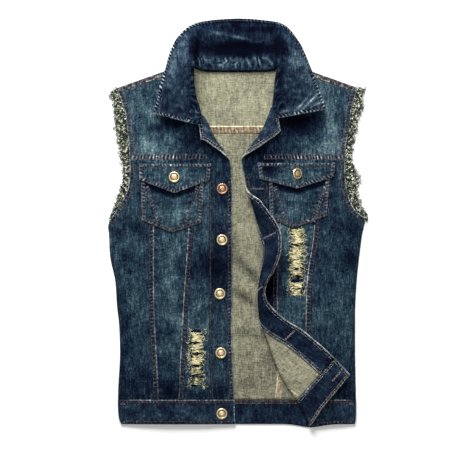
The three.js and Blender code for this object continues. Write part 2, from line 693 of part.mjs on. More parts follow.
// Collar: each section leaves the neck seam, rolls over its crest and runs out to the stitched edge

function collarGeometry() {
  const lanes = ["seam", "crest", "edge"].map((part) => {
    const points = COLLAR.map((row) => new THREE.Vector3(...row[part]));
    return new THREE.CatmullRomCurve3(points, false, "centripetal");
  });
  const section = (run, w) => {
    const [seam, crest, edge] = lanes.map((lane) => lane.getPoint(run));
    const out = edge.clone().sub(crest).setZ(0);
    const roll = out.clone().setLength(Math.min(COLLAR_ROLL, out.length()));
    const rise = new THREE.Vector3(1, 1, COLLAR_STEEPNESS).multiply(crest.clone().sub(seam));
    const fall = edge.clone().sub(crest);
    const first = w < COLLAR_RISE_SHARE;
    const t = first ? w / COLLAR_RISE_SHARE : (w - COLLAR_RISE_SHARE) / (1 - COLLAR_RISE_SHARE);
    const [from, to] = first ? [seam, crest] : [crest, edge];
    const leave = first ? rise : roll.clone().multiplyScalar(COLLAR_LEAVE);
    const reach = first ? roll.clone().multiplyScalar(COLLAR_REACH) : fall;
    return new THREE.Vector3()
      .addScaledVector(from, (1 + 2 * t) * (1 - t) ** 2)
      .addScaledVector(leave, t * (1 - t) ** 2)
      .addScaledVector(to, t * t * (3 - 2 * t))
      .addScaledVector(reach, t * t * (t - 1));
  };
  const surface = (s, t) => {
    const run = THREE.MathUtils.clamp(s, COLLAR_STEP, 1 - COLLAR_STEP);
    const w = THREE.MathUtils.clamp(t, COLLAR_STEP, 1 - COLLAR_STEP);
    const round = section(run + COLLAR_STEP, w).sub(section(run - COLLAR_STEP, w));
    const outward = section(run, w + COLLAR_STEP).sub(section(run, w - COLLAR_STEP));
    return { point: section(s, t), normal: outward.cross(round).normalize() };
  };
  return wall(surface, 30, 9, COLLAR_CLOTH);
}
addPiece("collar", collarGeometry(), DARK_DENIM);

// Tack buttons: a broad foot, a rounded ring and a raised centre

function buttonGeometry() {
  const profile = [
    new THREE.Vector2(0, 0),
    new THREE.Vector2(BUTTON_FOOT_RADIUS, 0),
    new THREE.Vector2(BUTTON_RADIUS, BUTTON_RIM_RISE),
    new THREE.Vector2(BUTTON_RADIUS * 0.93, 2.3),
    new THREE.Vector2(BUTTON_RADIUS * 0.74, 2.6),
    new THREE.Vector2(BUTTON_RADIUS * 0.64, 1.9),
    new THREE.Vector2(BUTTON_RADIUS * 0.5, 2),
    new THREE.Vector2(BUTTON_RADIUS * 0.32, 2.8),
    new THREE.Vector2(0, 3),
  ];
  return geometryOf(solidOf(new THREE.LatheGeometry(profile, BUTTON_SIDES).rotateX(Math.PI / 2)));
}

// A button that leans on its shank nearly touches the cloth with its rim
function addButton(name, front, x, y, lift, tilt = 0) {
  const button = addPiece(name, buttonGeometry(), BRASS);
  const normal = facing(front, x, y);
  const lean = THREE.MathUtils.degToRad(tilt);
  const leaning = new THREE.Quaternion().setFromAxisAngle(new THREE.Vector3(0, 1, 0), lean);
  button.quaternion.setFromUnitVectors(new THREE.Vector3(0, 0, 1), normal).multiply(leaning);
  const foot = BUTTON_FOOT_RADIUS * Math.sin(lean);
  const rim = BUTTON_RADIUS * Math.sin(lean) - BUTTON_RIM_RISE * Math.cos(lean);
  const raised = lift + Math.max(foot, rim);
  button.position.copy(place(front, x, y)).addScaledVector(normal, raised);
}

PLACKET_BUTTONS.forEach(({ x, y }, k) => addButton(`placket_button_${k + 1}`, RIGHT, x, y, LAYER_GAP));
for (const { side, x, y, tilt } of FLAP_BUTTONS) {
  const front = side < 0 ? RIGHT : LEFT;
  addButton(`flap_button_${front.name}`, front, x, y, flapLift + LAYER_GAP, tilt);
}

// Frayed armhole edges: a narrow strip just off the cloth, and loose yarns rooted in it

function frayGeometry(front, height, rows, seed) {
  const inside = rows.filter((y) => y > FRAY_FOOT && y < FRAY_HEAD);
  const points = inside.map((y) => new THREE.Vector3(front.sign * sideAt(front, y), y, height));
  const edge = new THREE.CatmullRomCurve3(points);
  const outAt = (t) => {
    const run = edge.getTangentAt(t);
    return new THREE.Vector3(run.y, -run.x, 0).multiplyScalar(front.sign).normalize();
  };
  const strip = wall((s, t) => {
    const k = Math.round(t * (inside.length - 1));
    const run = edge.getTangent(t);
    const out = new THREE.Vector3(run.y, -run.x, 0).multiplyScalar(front.sign).normalize();
    const point = points[k].clone().addScaledVector(out, SEAM_GAP * 1.5 + s * FRAY_STRIP_WIDTH);
    return { point, normal: new THREE.Vector3(0, 0, 1) };
  }, 1, inside.length - 1, FRAY_STRIP_DEPTH);
  let solid = solidOf(strip);
  for (let k = 0; k < FRAY_YARNS; k += 1) {
    const t = (k + 0.5) / FRAY_YARNS;
    const out = outAt(t);
    const root = edge.getPointAt(t).addScaledVector(out, SEAM_GAP + FRAY_STRIP_WIDTH * 0.6);
    const wobble = Math.sin((k + 1) * 12.9898 + seed) * 43758.5453;
    const chance = wobble - Math.floor(wobble);
    const lean = (chance - 0.5) * FRAY_LEAN;
    const direction = out.clone().applyAxisAngle(new THREE.Vector3(0, 0, 1), lean);
    const room = (FRAY_REACH - Math.abs(root.x)) / Math.abs(direction.x);
    const length = Math.min(FRAY_YARN_LENGTH + FRAY_LENGTH_SPREAD * ((chance * 7.3) % 1), room);
    const yarn = new THREE.ConeGeometry(FRAY_YARN_RADIUS, length, 3);
    yarn.translate(0, length / 2, 0);
    yarn.applyQuaternion(new THREE.Quaternion().setFromUnitVectors(new THREE.Vector3(0, 1, 0), direction));
    yarn.translate(root.x, root.y, root.z - FRAY_STRIP_DEPTH / 2);
    solid = solid.add(solidOf(yarn));
  }
  return geometryOf(solid);
}

for (const front of [RIGHT, LEFT]) {
  const tip = shoulderY(sideAt(front, SHOULDER_TIP_Y));
  const frontRows = [
    ...outlineRows(WAIST_Y + half, YOKE_Y - half),
    ...evenRows(YOKE_Y + half, tip - SHOULDER_WRAP - half, YOKE_ROWS).slice(1),
  ];
  const backRows = [
    ...outlineRows(...backSpan),
    ...evenRows(BACK_YOKE_Y + half, yokeTop(sideAt(front, SHOULDER_TIP_Y)), 3).slice(1),
  ];
  addPiece(`fray_front_${front.name}`, frayGeometry(front, SIDE_TOP, frontRows, 1), RAW_YARN);
  addPiece(`fray_back_${front.name}`, frayGeometry(front, BACK_CLOTH, backRows, 5), RAW_YARN);
}

export default vest;
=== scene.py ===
import bpy
import numpy as np
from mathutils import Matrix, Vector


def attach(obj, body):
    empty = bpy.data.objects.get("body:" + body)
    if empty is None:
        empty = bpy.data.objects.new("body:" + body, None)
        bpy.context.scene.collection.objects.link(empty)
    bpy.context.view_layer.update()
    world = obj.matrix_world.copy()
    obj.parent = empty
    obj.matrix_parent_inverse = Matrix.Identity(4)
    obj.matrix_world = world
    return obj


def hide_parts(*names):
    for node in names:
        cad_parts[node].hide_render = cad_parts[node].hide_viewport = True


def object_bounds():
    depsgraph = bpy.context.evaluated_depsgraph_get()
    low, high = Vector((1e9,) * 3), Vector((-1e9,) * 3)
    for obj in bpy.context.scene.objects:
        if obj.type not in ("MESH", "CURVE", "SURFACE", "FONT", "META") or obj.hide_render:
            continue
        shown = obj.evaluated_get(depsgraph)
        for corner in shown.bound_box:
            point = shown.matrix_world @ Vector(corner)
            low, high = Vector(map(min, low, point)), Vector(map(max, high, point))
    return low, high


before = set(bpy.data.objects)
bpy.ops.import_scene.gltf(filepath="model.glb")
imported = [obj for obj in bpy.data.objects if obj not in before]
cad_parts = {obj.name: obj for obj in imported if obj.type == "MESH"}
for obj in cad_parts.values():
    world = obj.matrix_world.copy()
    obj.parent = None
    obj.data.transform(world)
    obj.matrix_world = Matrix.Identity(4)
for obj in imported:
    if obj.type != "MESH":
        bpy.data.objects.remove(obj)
cad_low, cad_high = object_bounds()
MM = 0.001

# The view: a pale floor that the vest lies on, and a camera that looks straight down on it from 3 m.
# The light is soft, from beyond the collar and from the room, so the collar and lapels shade the yokes.
EYE_HEIGHT = 3.0
VIEW_WIDTH = 0.82075
VIEW_CENTRE = (-5.7 * MM, -20.1 * MM)
camera_data = bpy.data.cameras.new("camera")
camera_data.lens = camera_data.sensor_width * EYE_HEIGHT / VIEW_WIDTH
camera = bpy.data.objects.new("camera", camera_data)
camera.location = (*VIEW_CENTRE, EYE_HEIGHT)
bpy.context.scene.collection.objects.link(camera)
bpy.context.scene.camera = camera
bpy.context.scene.view_settings.view_transform = "Standard"


def add_node(tree, kind, feeds, **settings):
    """Adds a node, sets its properties, and sets each socket to a value or links it to another socket."""
    made = tree.nodes.new(kind)
    for key, value in settings.items():
        setattr(made, key, value)
    for socket, value in feeds.items():
        if isinstance(value, bpy.types.NodeSocket):
            tree.links.new(value, made.inputs[socket])
        else:
            made.inputs[socket].default_value = value
    return made


def surface_finish(name, roughness, **sockets):
    """A principled material with an even roughness. Returns the material, its node tree and its shader."""
    material = bpy.data.materials.new(name)
    material.use_nodes = True
    tree = material.node_tree
    tree.nodes.clear()
    shader = add_node(tree, "ShaderNodeBsdfPrincipled", {"Roughness": roughness, **sockets})
    add_node(tree, "ShaderNodeOutputMaterial", {"Surface": shader.outputs[0]})
    return material, tree, shader


floor_reach = 4.0
floor_mesh = bpy.data.meshes.new("floor")
corners = [(-1, -1), (1, -1), (1, 1), (-1, 1)]
spots = [(x * floor_reach, y * floor_reach, -0.3 * MM) for x, y in corners]
floor_mesh.from_pydata(spots, [], [(0, 1, 2, 3)])
floor_mesh.materials.append(surface_finish("pale_floor", 0.9, **{"Base Color": (0.94, 0.94, 0.93, 1)})[0])
floor = bpy.data.objects.new("floor", floor_mesh)
bpy.context.scene.collection.objects.link(floor)


def soft_light(name, spot, size, power):
    """A square lamp at a spot, turned to the middle of the vest."""
    lamp = bpy.data.lights.new(name, "AREA")
    lamp.size = size
    lamp.energy = power
    holder = bpy.data.objects.new(name, lamp)
    holder.location = spot
    direction = -holder.location
    holder.rotation_euler = direction.to_track_quat("-Z", "Y").to_euler()
    bpy.context.scene.collection.objects.link(holder)


soft_light("window", (-0.5, 2.3, 1.5), 1.4, 142)
soft_light("ceiling", (0.4, -0.4, 2.8), 2.4, 25)
world = bpy.data.worlds.new("room")
world.use_nodes = True
world.node_tree.nodes["Background"].inputs["Color"].default_value = (1, 1, 1, 1)
world.node_tree.nodes["Background"].inputs["Strength"].default_value = 0.27
bpy.context.scene.world = world

# Back panels: three pieces of denim from the yoke to the waistband, joined by two princess seams. They lie
# with their blue face down on the floor, and the beige inside shows in the vest's opening, with soft creases.
BACK_TOP = 1.5 * MM
BACK_UNDER = 0.55 * MM
SEAM_GAP = 0.3 * MM
WAIST_Y = -309 * MM
BACK_YOKE_Y = 163 * MM
ANGLES = ("swing", "bend", "droop", "turn")
PLAIN = ("side", "amount", "row", "share")


def rows(columns, lines):
    """A short table with named columns: lengths come in millimetres and angles in degrees."""
    data = np.array(lines, float)
    scale = {name: np.pi / 180 if name in ANGLES else 1 if name in PLAIN else MM for name in columns.split()}
    return {name: data[:, k] * scale[name] for k, name in enumerate(columns.split())}


def along(table, column, y, key="y"):
    """A column at each height: a cubic through the rows, with its slopes from the rows on both sides."""
    at, value = table[key], table[column]
    last = len(at) - 1
    order = np.arange(last + 1)
    before, after = np.maximum(order - 1, 0), np.minimum(order + 1, last)
    slope = (value[after] - value[before]) / (at[after] - at[before])
    y = np.clip(y, at[0], at[-1])
    i = np.clip(np.searchsorted(at, y) - 1, 0, last - 1)
    step = at[i + 1] - at[i]
    t = (y - at[i]) / step
    ends = value[i] * (1 + 2 * t) * (1 - t) ** 2 + value[i + 1] * (3 - 2 * t) * t**2
    return ends + step * (slope[i] * t * (1 - t) ** 2 - slope[i + 1] * (1 - t) * t**2)


def smooth(value):
    """Rises from 0 to 1 with level ends."""
    value = np.clip(value, 0, 1)
    return value * value * (3 - 2 * value)


def mounds(table, x, y, column):
    """The sum of long soft mounds, each a bell across its width and its length, turned by its angle."""
    total = np.zeros(np.broadcast(x, y).shape)
    for k, size in enumerate(table[column]):
        turn = table["turn"][k]
        dx, dy = x - table["x"][k], y - table["y"][k]
        run = dx * np.cos(turn) + dy * np.sin(turn)
        off = dy * np.cos(turn) - dx * np.sin(turn)
        total = total + size * np.exp(-((run / table["length"][k]) ** 2) - (off / table["width"][k]) ** 2)
    return total


def patchy(x, y, size, seed):
    """Even random patches from -1 to 1: values on a square lattice of that size, smoothly mixed between."""
    cells = 64
    lattice = np.random.default_rng(seed).random((cells, cells)) * 2 - 1
    u, v = np.broadcast_arrays(x / size + 7.3, y / size + 3.1)
    i, j = np.floor(u).astype(int), np.floor(v).astype(int)
    s, t = smooth(u - i), smooth(v - j)
    near, far = lattice[i % cells, j % cells], lattice[(i + 1) % cells, j % cells]
    near_up, far_up = lattice[i % cells, (j + 1) % cells], lattice[(i + 1) % cells, (j + 1) % cells]
    return (near * (1 - s) + far * s) * (1 - t) + (near_up * (1 - s) + far_up * s) * t


def pick_colour(tree, shader, tone, tones):
    """Gives the shader the colour that a tone picks from a ramp of places and colours."""
    ramp = add_node(tree, "ShaderNodeValToRGB", {"Fac": tone})
    elements = ramp.color_ramp.elements
    while len(elements) < len(tones):
        elements.new(0.5)
    for element, (at, colour) in zip(elements, tones):
        element.position = at
        element.color = (*colour, 1)
    tree.links.new(ramp.outputs["Color"], shader.inputs["Base Color"])


def cloth_finish(name, tones, streak, speckle, mottle, weft, twill_turn):
    """Woven cloth: streaks, specks and mottling on the wash attribute pick a tone, and the bump is twill."""
    lustre = {"Sheen Weight": 0.005, "Sheen Roughness": 0.6, "Specular IOR Level": 0.02}
    material, tree, shader = surface_finish(name, 0.95, **lustre)
    cut = add_node(tree, "ShaderNodeUVMap", {}, uv_map="cut").outputs["UV"]
    tone = add_node(tree, "ShaderNodeAttribute", {}, attribute_name="wash").outputs["Fac"]
    grains = [
        (2.0, 13, streak), (5, 40, streak * 0.7), (2.7, 3.2, speckle), (22, 26, mottle),
        (7, 9, mottle * 0.8), (13, 1.9, weft),
    ]
    first = None
    for across, upward, share in grains:
        scaled = add_node(
            tree, "ShaderNodeMapping", {"Vector": cut, "Scale": (1000 / across, 1000 / upward, 1)},
        )
        grain = {"Vector": scaled.outputs[0], "Scale": 1, "Detail": 2.5, "Roughness": 0.65}
        noise = add_node(tree, "ShaderNodeTexNoise", grain).outputs["Fac"]
        first = first or noise
        part = add_node(tree, "ShaderNodeMath", {0: noise, 1: share * 2, 2: -share}, operation="MULTIPLY_ADD")
        tone = add_node(tree, "ShaderNodeMath", {0: tone, 1: part.outputs[0]}, operation="ADD").outputs[0]
    pick_colour(tree, shader, tone, tones)
    turned = add_node(tree, "ShaderNodeMapping", {"Vector": cut, "Rotation": (0, 0, twill_turn)})
    wave = {"Vector": turned.outputs[0], "Scale": 300, "Distortion": 0.6, "Detail": 1}
    twill = add_node(tree, "ShaderNodeTexWave", wave)
    height = {0: twill.outputs["Fac"], 1: 0.5, 2: first}
    weave = add_node(tree, "ShaderNodeMath", height, operation="MULTIPLY_ADD")
    bump = add_node(
        tree, "ShaderNodeBump", {"Height": weave.outputs[0], "Strength": 0.55, "Distance": 0.35 * MM},
    )
    tree.links.new(bump.outputs[0], shader.inputs["Normal"])
    return material


INDIGO = [
    (0.0, (0.0010, 0.0018, 0.006)),
    (0.25, (0.0042, 0.0090, 0.0215)),
    (0.5, (0.0185, 0.040, 0.058)),
    (0.75, (0.080, 0.138, 0.160)),
    (0.9, (0.20, 0.27, 0.275)),
    (1.0, (0.50, 0.55, 0.52)),
]
BEIGE = [
    (0.0, (0.02, 0.02, 0.022)),
    (0.3, (0.12, 0.12, 0.088)),
    (0.6, (0.33, 0.32, 0.215)),
    (1.0, (0.58, 0.55, 0.40)),
]
TWILL_TURN = 1.05
denim = cloth_finish("washed_denim", INDIGO, 0.36, 0.42, 0.24, 0.12, TWILL_TURN)
inside = cloth_finish("denim_inside", BEIGE, 0.26, 0.30, 0.16, 0.30, -TWILL_TURN)


def fill_mesh(name, points, quads, finishes, finish_of, cut, wash):
    """A mesh of quads from arrays, smooth, with the cut as its UV map and the wash as an attribute."""
    mesh = bpy.data.meshes.new(name)
    mesh.vertices.add(len(points))
    mesh.vertices.foreach_set("co", points.astype(np.float32).ravel())
    mesh.loops.add(quads.size)
    mesh.loops.foreach_set("vertex_index", quads.astype(np.int32).ravel())
    mesh.polygons.add(len(quads))
    mesh.polygons.foreach_set("loop_start", np.arange(0, quads.size, 4, dtype=np.int32))
    for finish in finishes:
        mesh.materials.append(finish)
    mesh.update(calc_edges=True)
    mesh.polygons.foreach_set("material_index", finish_of.astype(np.int32))
    mesh.polygons.foreach_set("use_smooth", np.ones(len(quads), bool))
    mesh.uv_layers.new(name="cut").data.foreach_set("uv", cut[quads.ravel()].astype(np.float32).ravel())
    mesh.attributes.new("wash", "FLOAT", "POINT").data.foreach_set("value", wash.astype(np.float32).ravel())
    piece = bpy.data.objects.new(name, mesh)
    bpy.context.scene.collection.objects.link(piece)
    return piece


def wall(outer, inner, cut, wash, wash_in=None, keep=None, finish_in=1):
    """A closed wall of cloth on one grid: outer and inner faces, and a rim round the cells that are kept."""
    down, across = outer.shape[:2]
    keep = np.ones((down - 1, across - 1), bool) if keep is None else keep
    index = np.arange(down * across).reshape(down, across)
    layer = down * across
    cell = np.stack([index[:-1, :-1], index[:-1, 1:], index[1:, 1:], index[1:, :-1]], -1)
    faces = [cell[keep], cell[keep][:, ::-1] + layer]
    framed = np.pad(keep, 1)
    beside = [framed[:-2, 1:-1], framed[1:-1, 2:], framed[2:, 1:-1], framed[1:-1, :-2]]
    for k, there in enumerate(beside):
        free = keep & ~there
        a, b = cell[free][:, k], cell[free][:, (k + 1) % 4]
        faces.append(np.stack([a, a + layer, b + layer, b], -1))
    finish_of = np.zeros(sum(len(f) for f in faces))
    finish_of[len(faces[0]) : 2 * len(faces[0])] = finish_in
    quads = np.concatenate(faces)
    steps = np.cross(outer[:-1, 1:] - outer[:-1, :-1], outer[1:, :-1] - outer[:-1, :-1])
    if np.sum(steps * (outer - inner)[:-1, :-1]) < 0:
        quads = quads[:, ::-1]
    wash_in = wash if wash_in is None else wash_in
    points = np.concatenate([outer.reshape(-1, 3), inner.reshape(-1, 3)])
    used = np.unique(quads)
    fresh = np.zeros(len(points), int)
    fresh[used] = np.arange(len(used))
    pattern = np.tile(cut.reshape(-1, 2), (2, 1))
    tones = np.concatenate([np.broadcast_to(w, (down, across)).ravel() for w in (wash, wash_in)])
    return points[used], fresh[quads], finish_of, pattern[used], tones[used]


def shell(name, walls, finishes):
    """One mesh made of several walls."""
    offsets = np.cumsum([0] + [len(w[0]) for w in walls])
    joined = [np.concatenate([w[k] + offsets[n] * (k == 1) for n, w in enumerate(walls)]) for k in range(5)]
    return fill_mesh(name, joined[0], joined[1], finishes, joined[2], joined[3], joined[4])


def cut_of(x, y):
    """The pattern's coordinates as a UV map in metres."""
    return np.stack(np.broadcast_arrays(x, y), -1)


def declare(piece, x, y, node, slot):
    """Hangs a piece of cloth on the root and hides the node that it stands for. The slot is not used, and the
    flat size it was cut to is worked out but not used.
    """
    across = np.stack([np.diff(x, axis=1)[:-1], np.diff(y, axis=1)[:-1]], -1)
    upward = np.stack([np.diff(x, axis=0)[:, :-1], np.diff(y, axis=0)[:, :-1]], -1)
    flat = (float(np.ptp(x)), float(np.ptp(y)))
    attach(piece, "root")
    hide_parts(node)


OUTLINE = rows("y right left", [
    (-353, 203, 204), (-340, 208, 206.5), (-300, 209.5, 206.5), (-230, 206, 205.2), (-175, 207.8, 205.2),
    (-145, 211.3, 205.4), (-100, 214.5, 208), (-60, 223, 212.2), (-20, 225.3, 217.4), (-4, 226.5, 221),
    (8, 221, 222), (20, 213.5, 208), (34, 204.5, 198.5), (56, 193.7, 191.5), (80, 189.3, 188.4),
    (128, 190, 188.4), (166, 193.5, 195), (192, 197, 198), (212, 203, 202.5), (238, 213, 210),
])
BACK_SEAMS = rows("y right left", [(-310, 74, 70), (163, 118, 118)])
BACK_CREASES = rows("x y length width turn height", [
    (17, -115, 24, 13, -38, 1.4), (22, -195, 22, 14, -8, 1.1), (22, -100, 18, 3.4, -38, -1.0),
    (11, -131, 19, 3.6, -36, -1.1), (20, -152, 22, 5, -30, 0.7), (30, -190, 26, 5, -6, -0.6),
    (8, -205, 18, 6, -12, 0.6), (20, -20, 9, 40, 0, 0.5), (-8, 60, 10, 50, 8, 0.4), (40, 100, 26, 9, 30, 0.5),
    (-30, 120, 24, 8, -20, 0.5), (30, -270, 30, 10, 14, 0.5), (5, -250, 9, 26, 4, -0.3),
])
# Places of the back's inside: the dark ones are painted shade in its crease valleys and beside the fronts'
# edges, and the pale one near the yoke is lighter cloth
BACK_TONE_AND_SHADE = rows("x y length width turn amount", [
    (20, -84, 32, 7, -46, -0.22), (11, -131, 24, 6, -36, -0.24), (34, -150, 40, 10, -62, -0.1),
    (22, -194, 30, 8, -6, -0.2), (60, -250, 16, 60, 0, -0.08), (10, -280, 34, 16, 0, -0.1),
    (0, 220, 70, 30, 0, 0.04), (-10, -40, 12, 60, 0, -0.05), (20, 30, 20, 60, 0, -0.04),
    (4, -230, 26, 14, 10, -0.07),
])


def back_top(x, y):
    """Height of the inside of the back: level cloth with its creases."""
    ripple = 0.12 * MM * patchy(x, y, 11 * MM, 41) + 0.1 * MM * patchy(x, y, 24 * MM, 42)
    return BACK_TOP + mounds(BACK_CREASES, x, y, "height") + ripple


def back_piece(node, x, y, slot="denim_inside", finishes=(inside, denim), tone=0.425, tone_under=0.42):
    """One flat piece of the back: its inside on top, its blue face down on the floor."""
    outer = np.stack(np.broadcast_arrays(x, y, back_top(x, y)), -1)
    under = np.stack(np.broadcast_arrays(x, y, np.full(x.shape, BACK_UNDER)), -1)
    # The wash carries painted shade in the creases and beside the fronts.
    wash = tone + 0.05 * patchy(x, y, 30 * MM, 43) + mounds(BACK_TONE_AND_SHADE, x, y, "amount")
    wash_in = tone_under + 0.07 * patchy(x, y, 60 * MM, 44) - 0.1 * smooth((-y - 0.2) / 0.15)
    piece = shell(f"{node}_cloth", [wall(outer, under, cut_of(x, y), wash, wash_in)], finishes)
    declare(piece, x, y, node, slot)
    return piece


def mesh_steps(low, high, step):
    """Even places from low to high, at most a step apart."""
    return np.linspace(0, 1, max(2, int(np.ceil(abs(high - low) / step)) + 1))


def strip_between(left, right, low, high, step):
    """A grid between two edges, each a function of the height and how far off it lies."""
    (left_line, left_off), (right_line, right_off) = left, right
    ends = np.array([low, high])
    widest = np.max(right_line(ends) + right_off - left_line(ends) - left_off)
    t = mesh_steps(low, high, step)[:, None]
    s = mesh_steps(0, float(widest), step)[None, :]
    y = (low + (high - low) * t) + 0 * s
    return (left_line(y) + left_off) * (1 - s) + (right_line(y) + right_off) * s, y


def side_right(y):
    """The right side edge, at negative x."""
    return -along(OUTLINE, "right", y)


def side_left(y):
    """The left side edge."""
    return along(OUTLINE, "left", y)


def back_seam_right(y):
    """The right princess seam of the back."""
    return -along(BACK_SEAMS, "right", y)


def back_seam_left(y):
    """The left princess seam of the back."""
    return along(BACK_SEAMS, "left", y)


half = SEAM_GAP / 2
back_span = (WAIST_Y + half, BACK_YOKE_Y - half)
back_panels = [
    ("back_centre", (back_seam_right, half), (back_seam_left, -half), 3.4 * MM),
    ("back_side_right", (side_right, 0), (back_seam_right, -half), 6 * MM),
    ("back_side_left", (back_seam_left, half), (side_left, 0), 6 * MM),
]
for node, left, right, step in back_panels:
    back_piece(node, *strip_between(left, right, *back_span, step))

# Back part of the waistband: a doubled strip of darker denim, 43 mm high, whose inside shows at the hem
# between the fronts. Its lower edge is a fold, and its upper edge is sewn over the back panels.
HEM_Y = -351.5 * MM
HEM_DIP = 5.7 * MM
DARK_INDIGO = [
    (0.0, (0.001, 0.0015, 0.006)),
    (0.25, (0.0045, 0.0090, 0.022)),
    (0.5, (0.018, 0.035, 0.057)),
    (0.75, (0.078, 0.125, 0.155)),
    (0.9, (0.20, 0.26, 0.275)),
    (1.0, (0.52, 0.55, 0.53)),
]
dark_denim = cloth_finish("dark_denim", DARK_INDIGO, 0.30, 0.34, 0.30, 0.12, TWILL_TURN)


def hem_y(x):
    """The lower edge of the waistband, which dips where the left corner was pulled."""
    return HEM_Y - HEM_DIP * np.exp(-(((x - 127 * MM) / (26 * MM)) ** 2))


def rising_rows(x_low, x_high, foot, head, step, columns):
    """A grid whose foot and head are functions of x."""
    s = np.linspace(0, 1, columns)[None, :]
    x = x_low + (x_high - x_low) * s
    t = mesh_steps(0, float(np.max(head(x) - foot(x))), step)[:, None]
    return x + 0 * t, foot(x) * (1 - t) + head(x) * t


band_half = 204 * MM
band_x, band_y = rising_rows(-band_half, band_half, hem_y, lambda x: 0 * x + WAIST_Y - half, 3 * MM, 90)
edge_share = (band_x + band_half) / (2 * band_half)
band_x = side_right(band_y) * (1 - edge_share) + side_left(band_y) * edge_share
back_piece("waistband_back", band_x, band_y, "dark_denim", (dark_denim, dark_denim), 0.29, 0.3)

# Back yoke: one piece across the shoulders, from the seam with the back panels up to the neck. At each
# shoulder it turns over the top and comes down on the front, where the shoulder seam holds it.
BACK_NECK_Y = 266 * MM
NECK_X = 84 * MM
SHOULDER_Y = 281 * MM
SHOULDER_SLOPE = 0.353
SHOULDER_WRAP = 9 * MM
SHOULDER_TIP_Y = 236 * MM
FRONT_TOP = 5 * MM
SIDE_TOP = 3.4 * MM


def shoulder_y(x):
    """The top edge of the shoulders, sloping from the neck."""
    return SHOULDER_Y - SHOULDER_SLOPE * (np.abs(x) - NECK_X)


def yoke_top(x):
    """The top edge of the back yoke: level at the neck, up to the shoulders, and down along them."""
    ease = 18 * MM
    climb = SHOULDER_Y - FRONT_TOP / 2 - BACK_NECK_Y
    at_neck = BACK_NECK_Y - half + climb * smooth((np.abs(x) - NECK_X + ease) / ease)
    return np.where(np.abs(x) > NECK_X, shoulder_y(x) - FRONT_TOP / 2, at_neck)


yoke_x, yoke_y = rising_rows(
    side_right(SHOULDER_TIP_Y), side_left(SHOULDER_TIP_Y), lambda x: 0 * x + BACK_YOKE_Y + half, yoke_top,
    3 * MM, 130,
)
yoke_share = (yoke_x - yoke_x[:, :1]) / (yoke_x[:, -1:] - yoke_x[:, :1])
yoke_x = side_right(yoke_y) * (1 - yoke_share) + side_left(yoke_y) * yoke_share
back_piece("back_yoke", yoke_x, yoke_y, "denim", (inside, denim), 0.46, 0.5)

# Fronts: each is cut flat and turned over along one fold, so that the lapels lie open, the left placket
# stands as a wave and the left lower corner lies turned back. x runs from the centre towards the side.
CLOTH = 1.3 * MM
PLACKET_WIDTH = 39 * MM
ROLL_RADIUS = 3 * MM
BILLOW = 2.4 * MM
YOKE_Y = 110 * MM
FOLD_RIGHT = rows("y fold turned swing bend droop", [
    (-353, 4.8, 0.2, 0, 30, 30), (-310, 6.2, 0.2, 0, 30, 30), (-250, 9.5, 0.2, 0, 30, 30),
    (-190, 10.8, 0.2, 0, 30, 30), (90, 10.8, 0.2, 0, 30, 30), (102, 12.5, 0.6, -20, 60, 60),
    (114, 19, 6, -42, 120, 150), (128, 27.9, 11.5, -72, 160, 180), (145, 40.5, 18.5, -76, 175, 185),
    (163, 49.3, 28, -74, 175, 188), (177, 55.6, 38, -70, 175, 188), (201, 71, 54, -70, 175, 188),
    (232, 76, 60, -70, 175, 188), (280, 80, 64, -70, 175, 188),
])
FOLD_LEFT = rows("y fold turned swing bend droop", [
    (-353, 125.6, 118.5, 50, 176, 185), (-311, 104.7, 105, 48, 176, 185), (-268, 75.7, 93, 44, 176, 185),
    (-231, 60.5, 73.5, 44, 175, 186), (-211, 53.8, 59, 44, 172, 186), (-187, 45.1, 45, 46, 160, 186),
    (-168, 39.5, 37.6, 47, 132, 190), (-154, 38.1, 35, 52, 100, 190), (-138, 38.5, 36.5, 55, 71, 195),
    (-119, 40.7, 42, 46, 54, 200), (-98, 42.3, 49.4, 30, 59, 205), (-75, 43.1, 53.4, 24, 78, 205),
    (-54, 43, 49.5, 23, 106, 203), (-30, 41.2, 43, 26, 147, 195), (-16, 39, 41, 27, 126, 200),
    (5, 34.6, 39.4, 24, 76, 205), (23, 29.5, 33, 23, 62, 200), (36, 24.9, 24.5, 23, 76, 180),
    (54, 18.8, 11, 22, 60, 120), (72, 14.2, 2, 10, 30, 30), (86, 10.8, 0.6, -10, 40, 40),
    (104, 7, 1, -30, 60, 60), (114, 10.5, 5, -50, 120, 150), (128, 20.2, 11.5, -66, 160, 180),
    (145, 32.8, 19.5, -68, 175, 185), (163, 44.7, 27.5, -68, 175, 188), (180, 52.1, 37, -64, 175, 188),
    (194, 57.3, 43.5, -60, 175, 186), (214, 63.4, 50, -60, 175, 186), (280, 72, 56, -60, 175, 186),
])
RIGHT = {
    "name": "right", "sign": -1, "corner": 177 * MM, "folds": FOLD_RIGHT,
    "seams": rows("y inner outer", [
        (-310, 103.5, 137.6), (-140, 95, 146), (-10, 86, 146.6), (112, 80, 147),
    ]),
    "neck": rows("y x", [(198, 61.5), (222, 71), (245, 77), (275, 84)]),
    "creases": rows("x y length width turn height", [
        (195, -70, 34, 9, 35, 1.6), (176, -190, 30, 10, -30, 1.3), (120, -235, 42, 12, 10, 1),
        (70, -75, 36, 10, 60, 0.8),
    ]),
}
LEFT = {
    "name": "left", "sign": 1, "corner": 194 * MM, "folds": FOLD_LEFT,
    "seams": rows("y inner outer", [
        (-310, 100, 137), (-268, 84, 126), (-211, 75, 119), (-155, 70, 119), (-95, 70.5, 121.5),
        (-15, 74, 133), (112, 79, 139),
    ]),
    "neck": rows("y x", [(213, 57.8), (232, 67), (250, 74), (275, 84)]),
    "creases": rows("x y length width turn height", [
        (178, -50, 38, 10, -38, 1.6), (172, -125, 34, 11, 24, 1.3), (165, -210, 40, 12, -16, 1.4),
        (168, 150, 26, 10, 50, 1),
    ]),
}
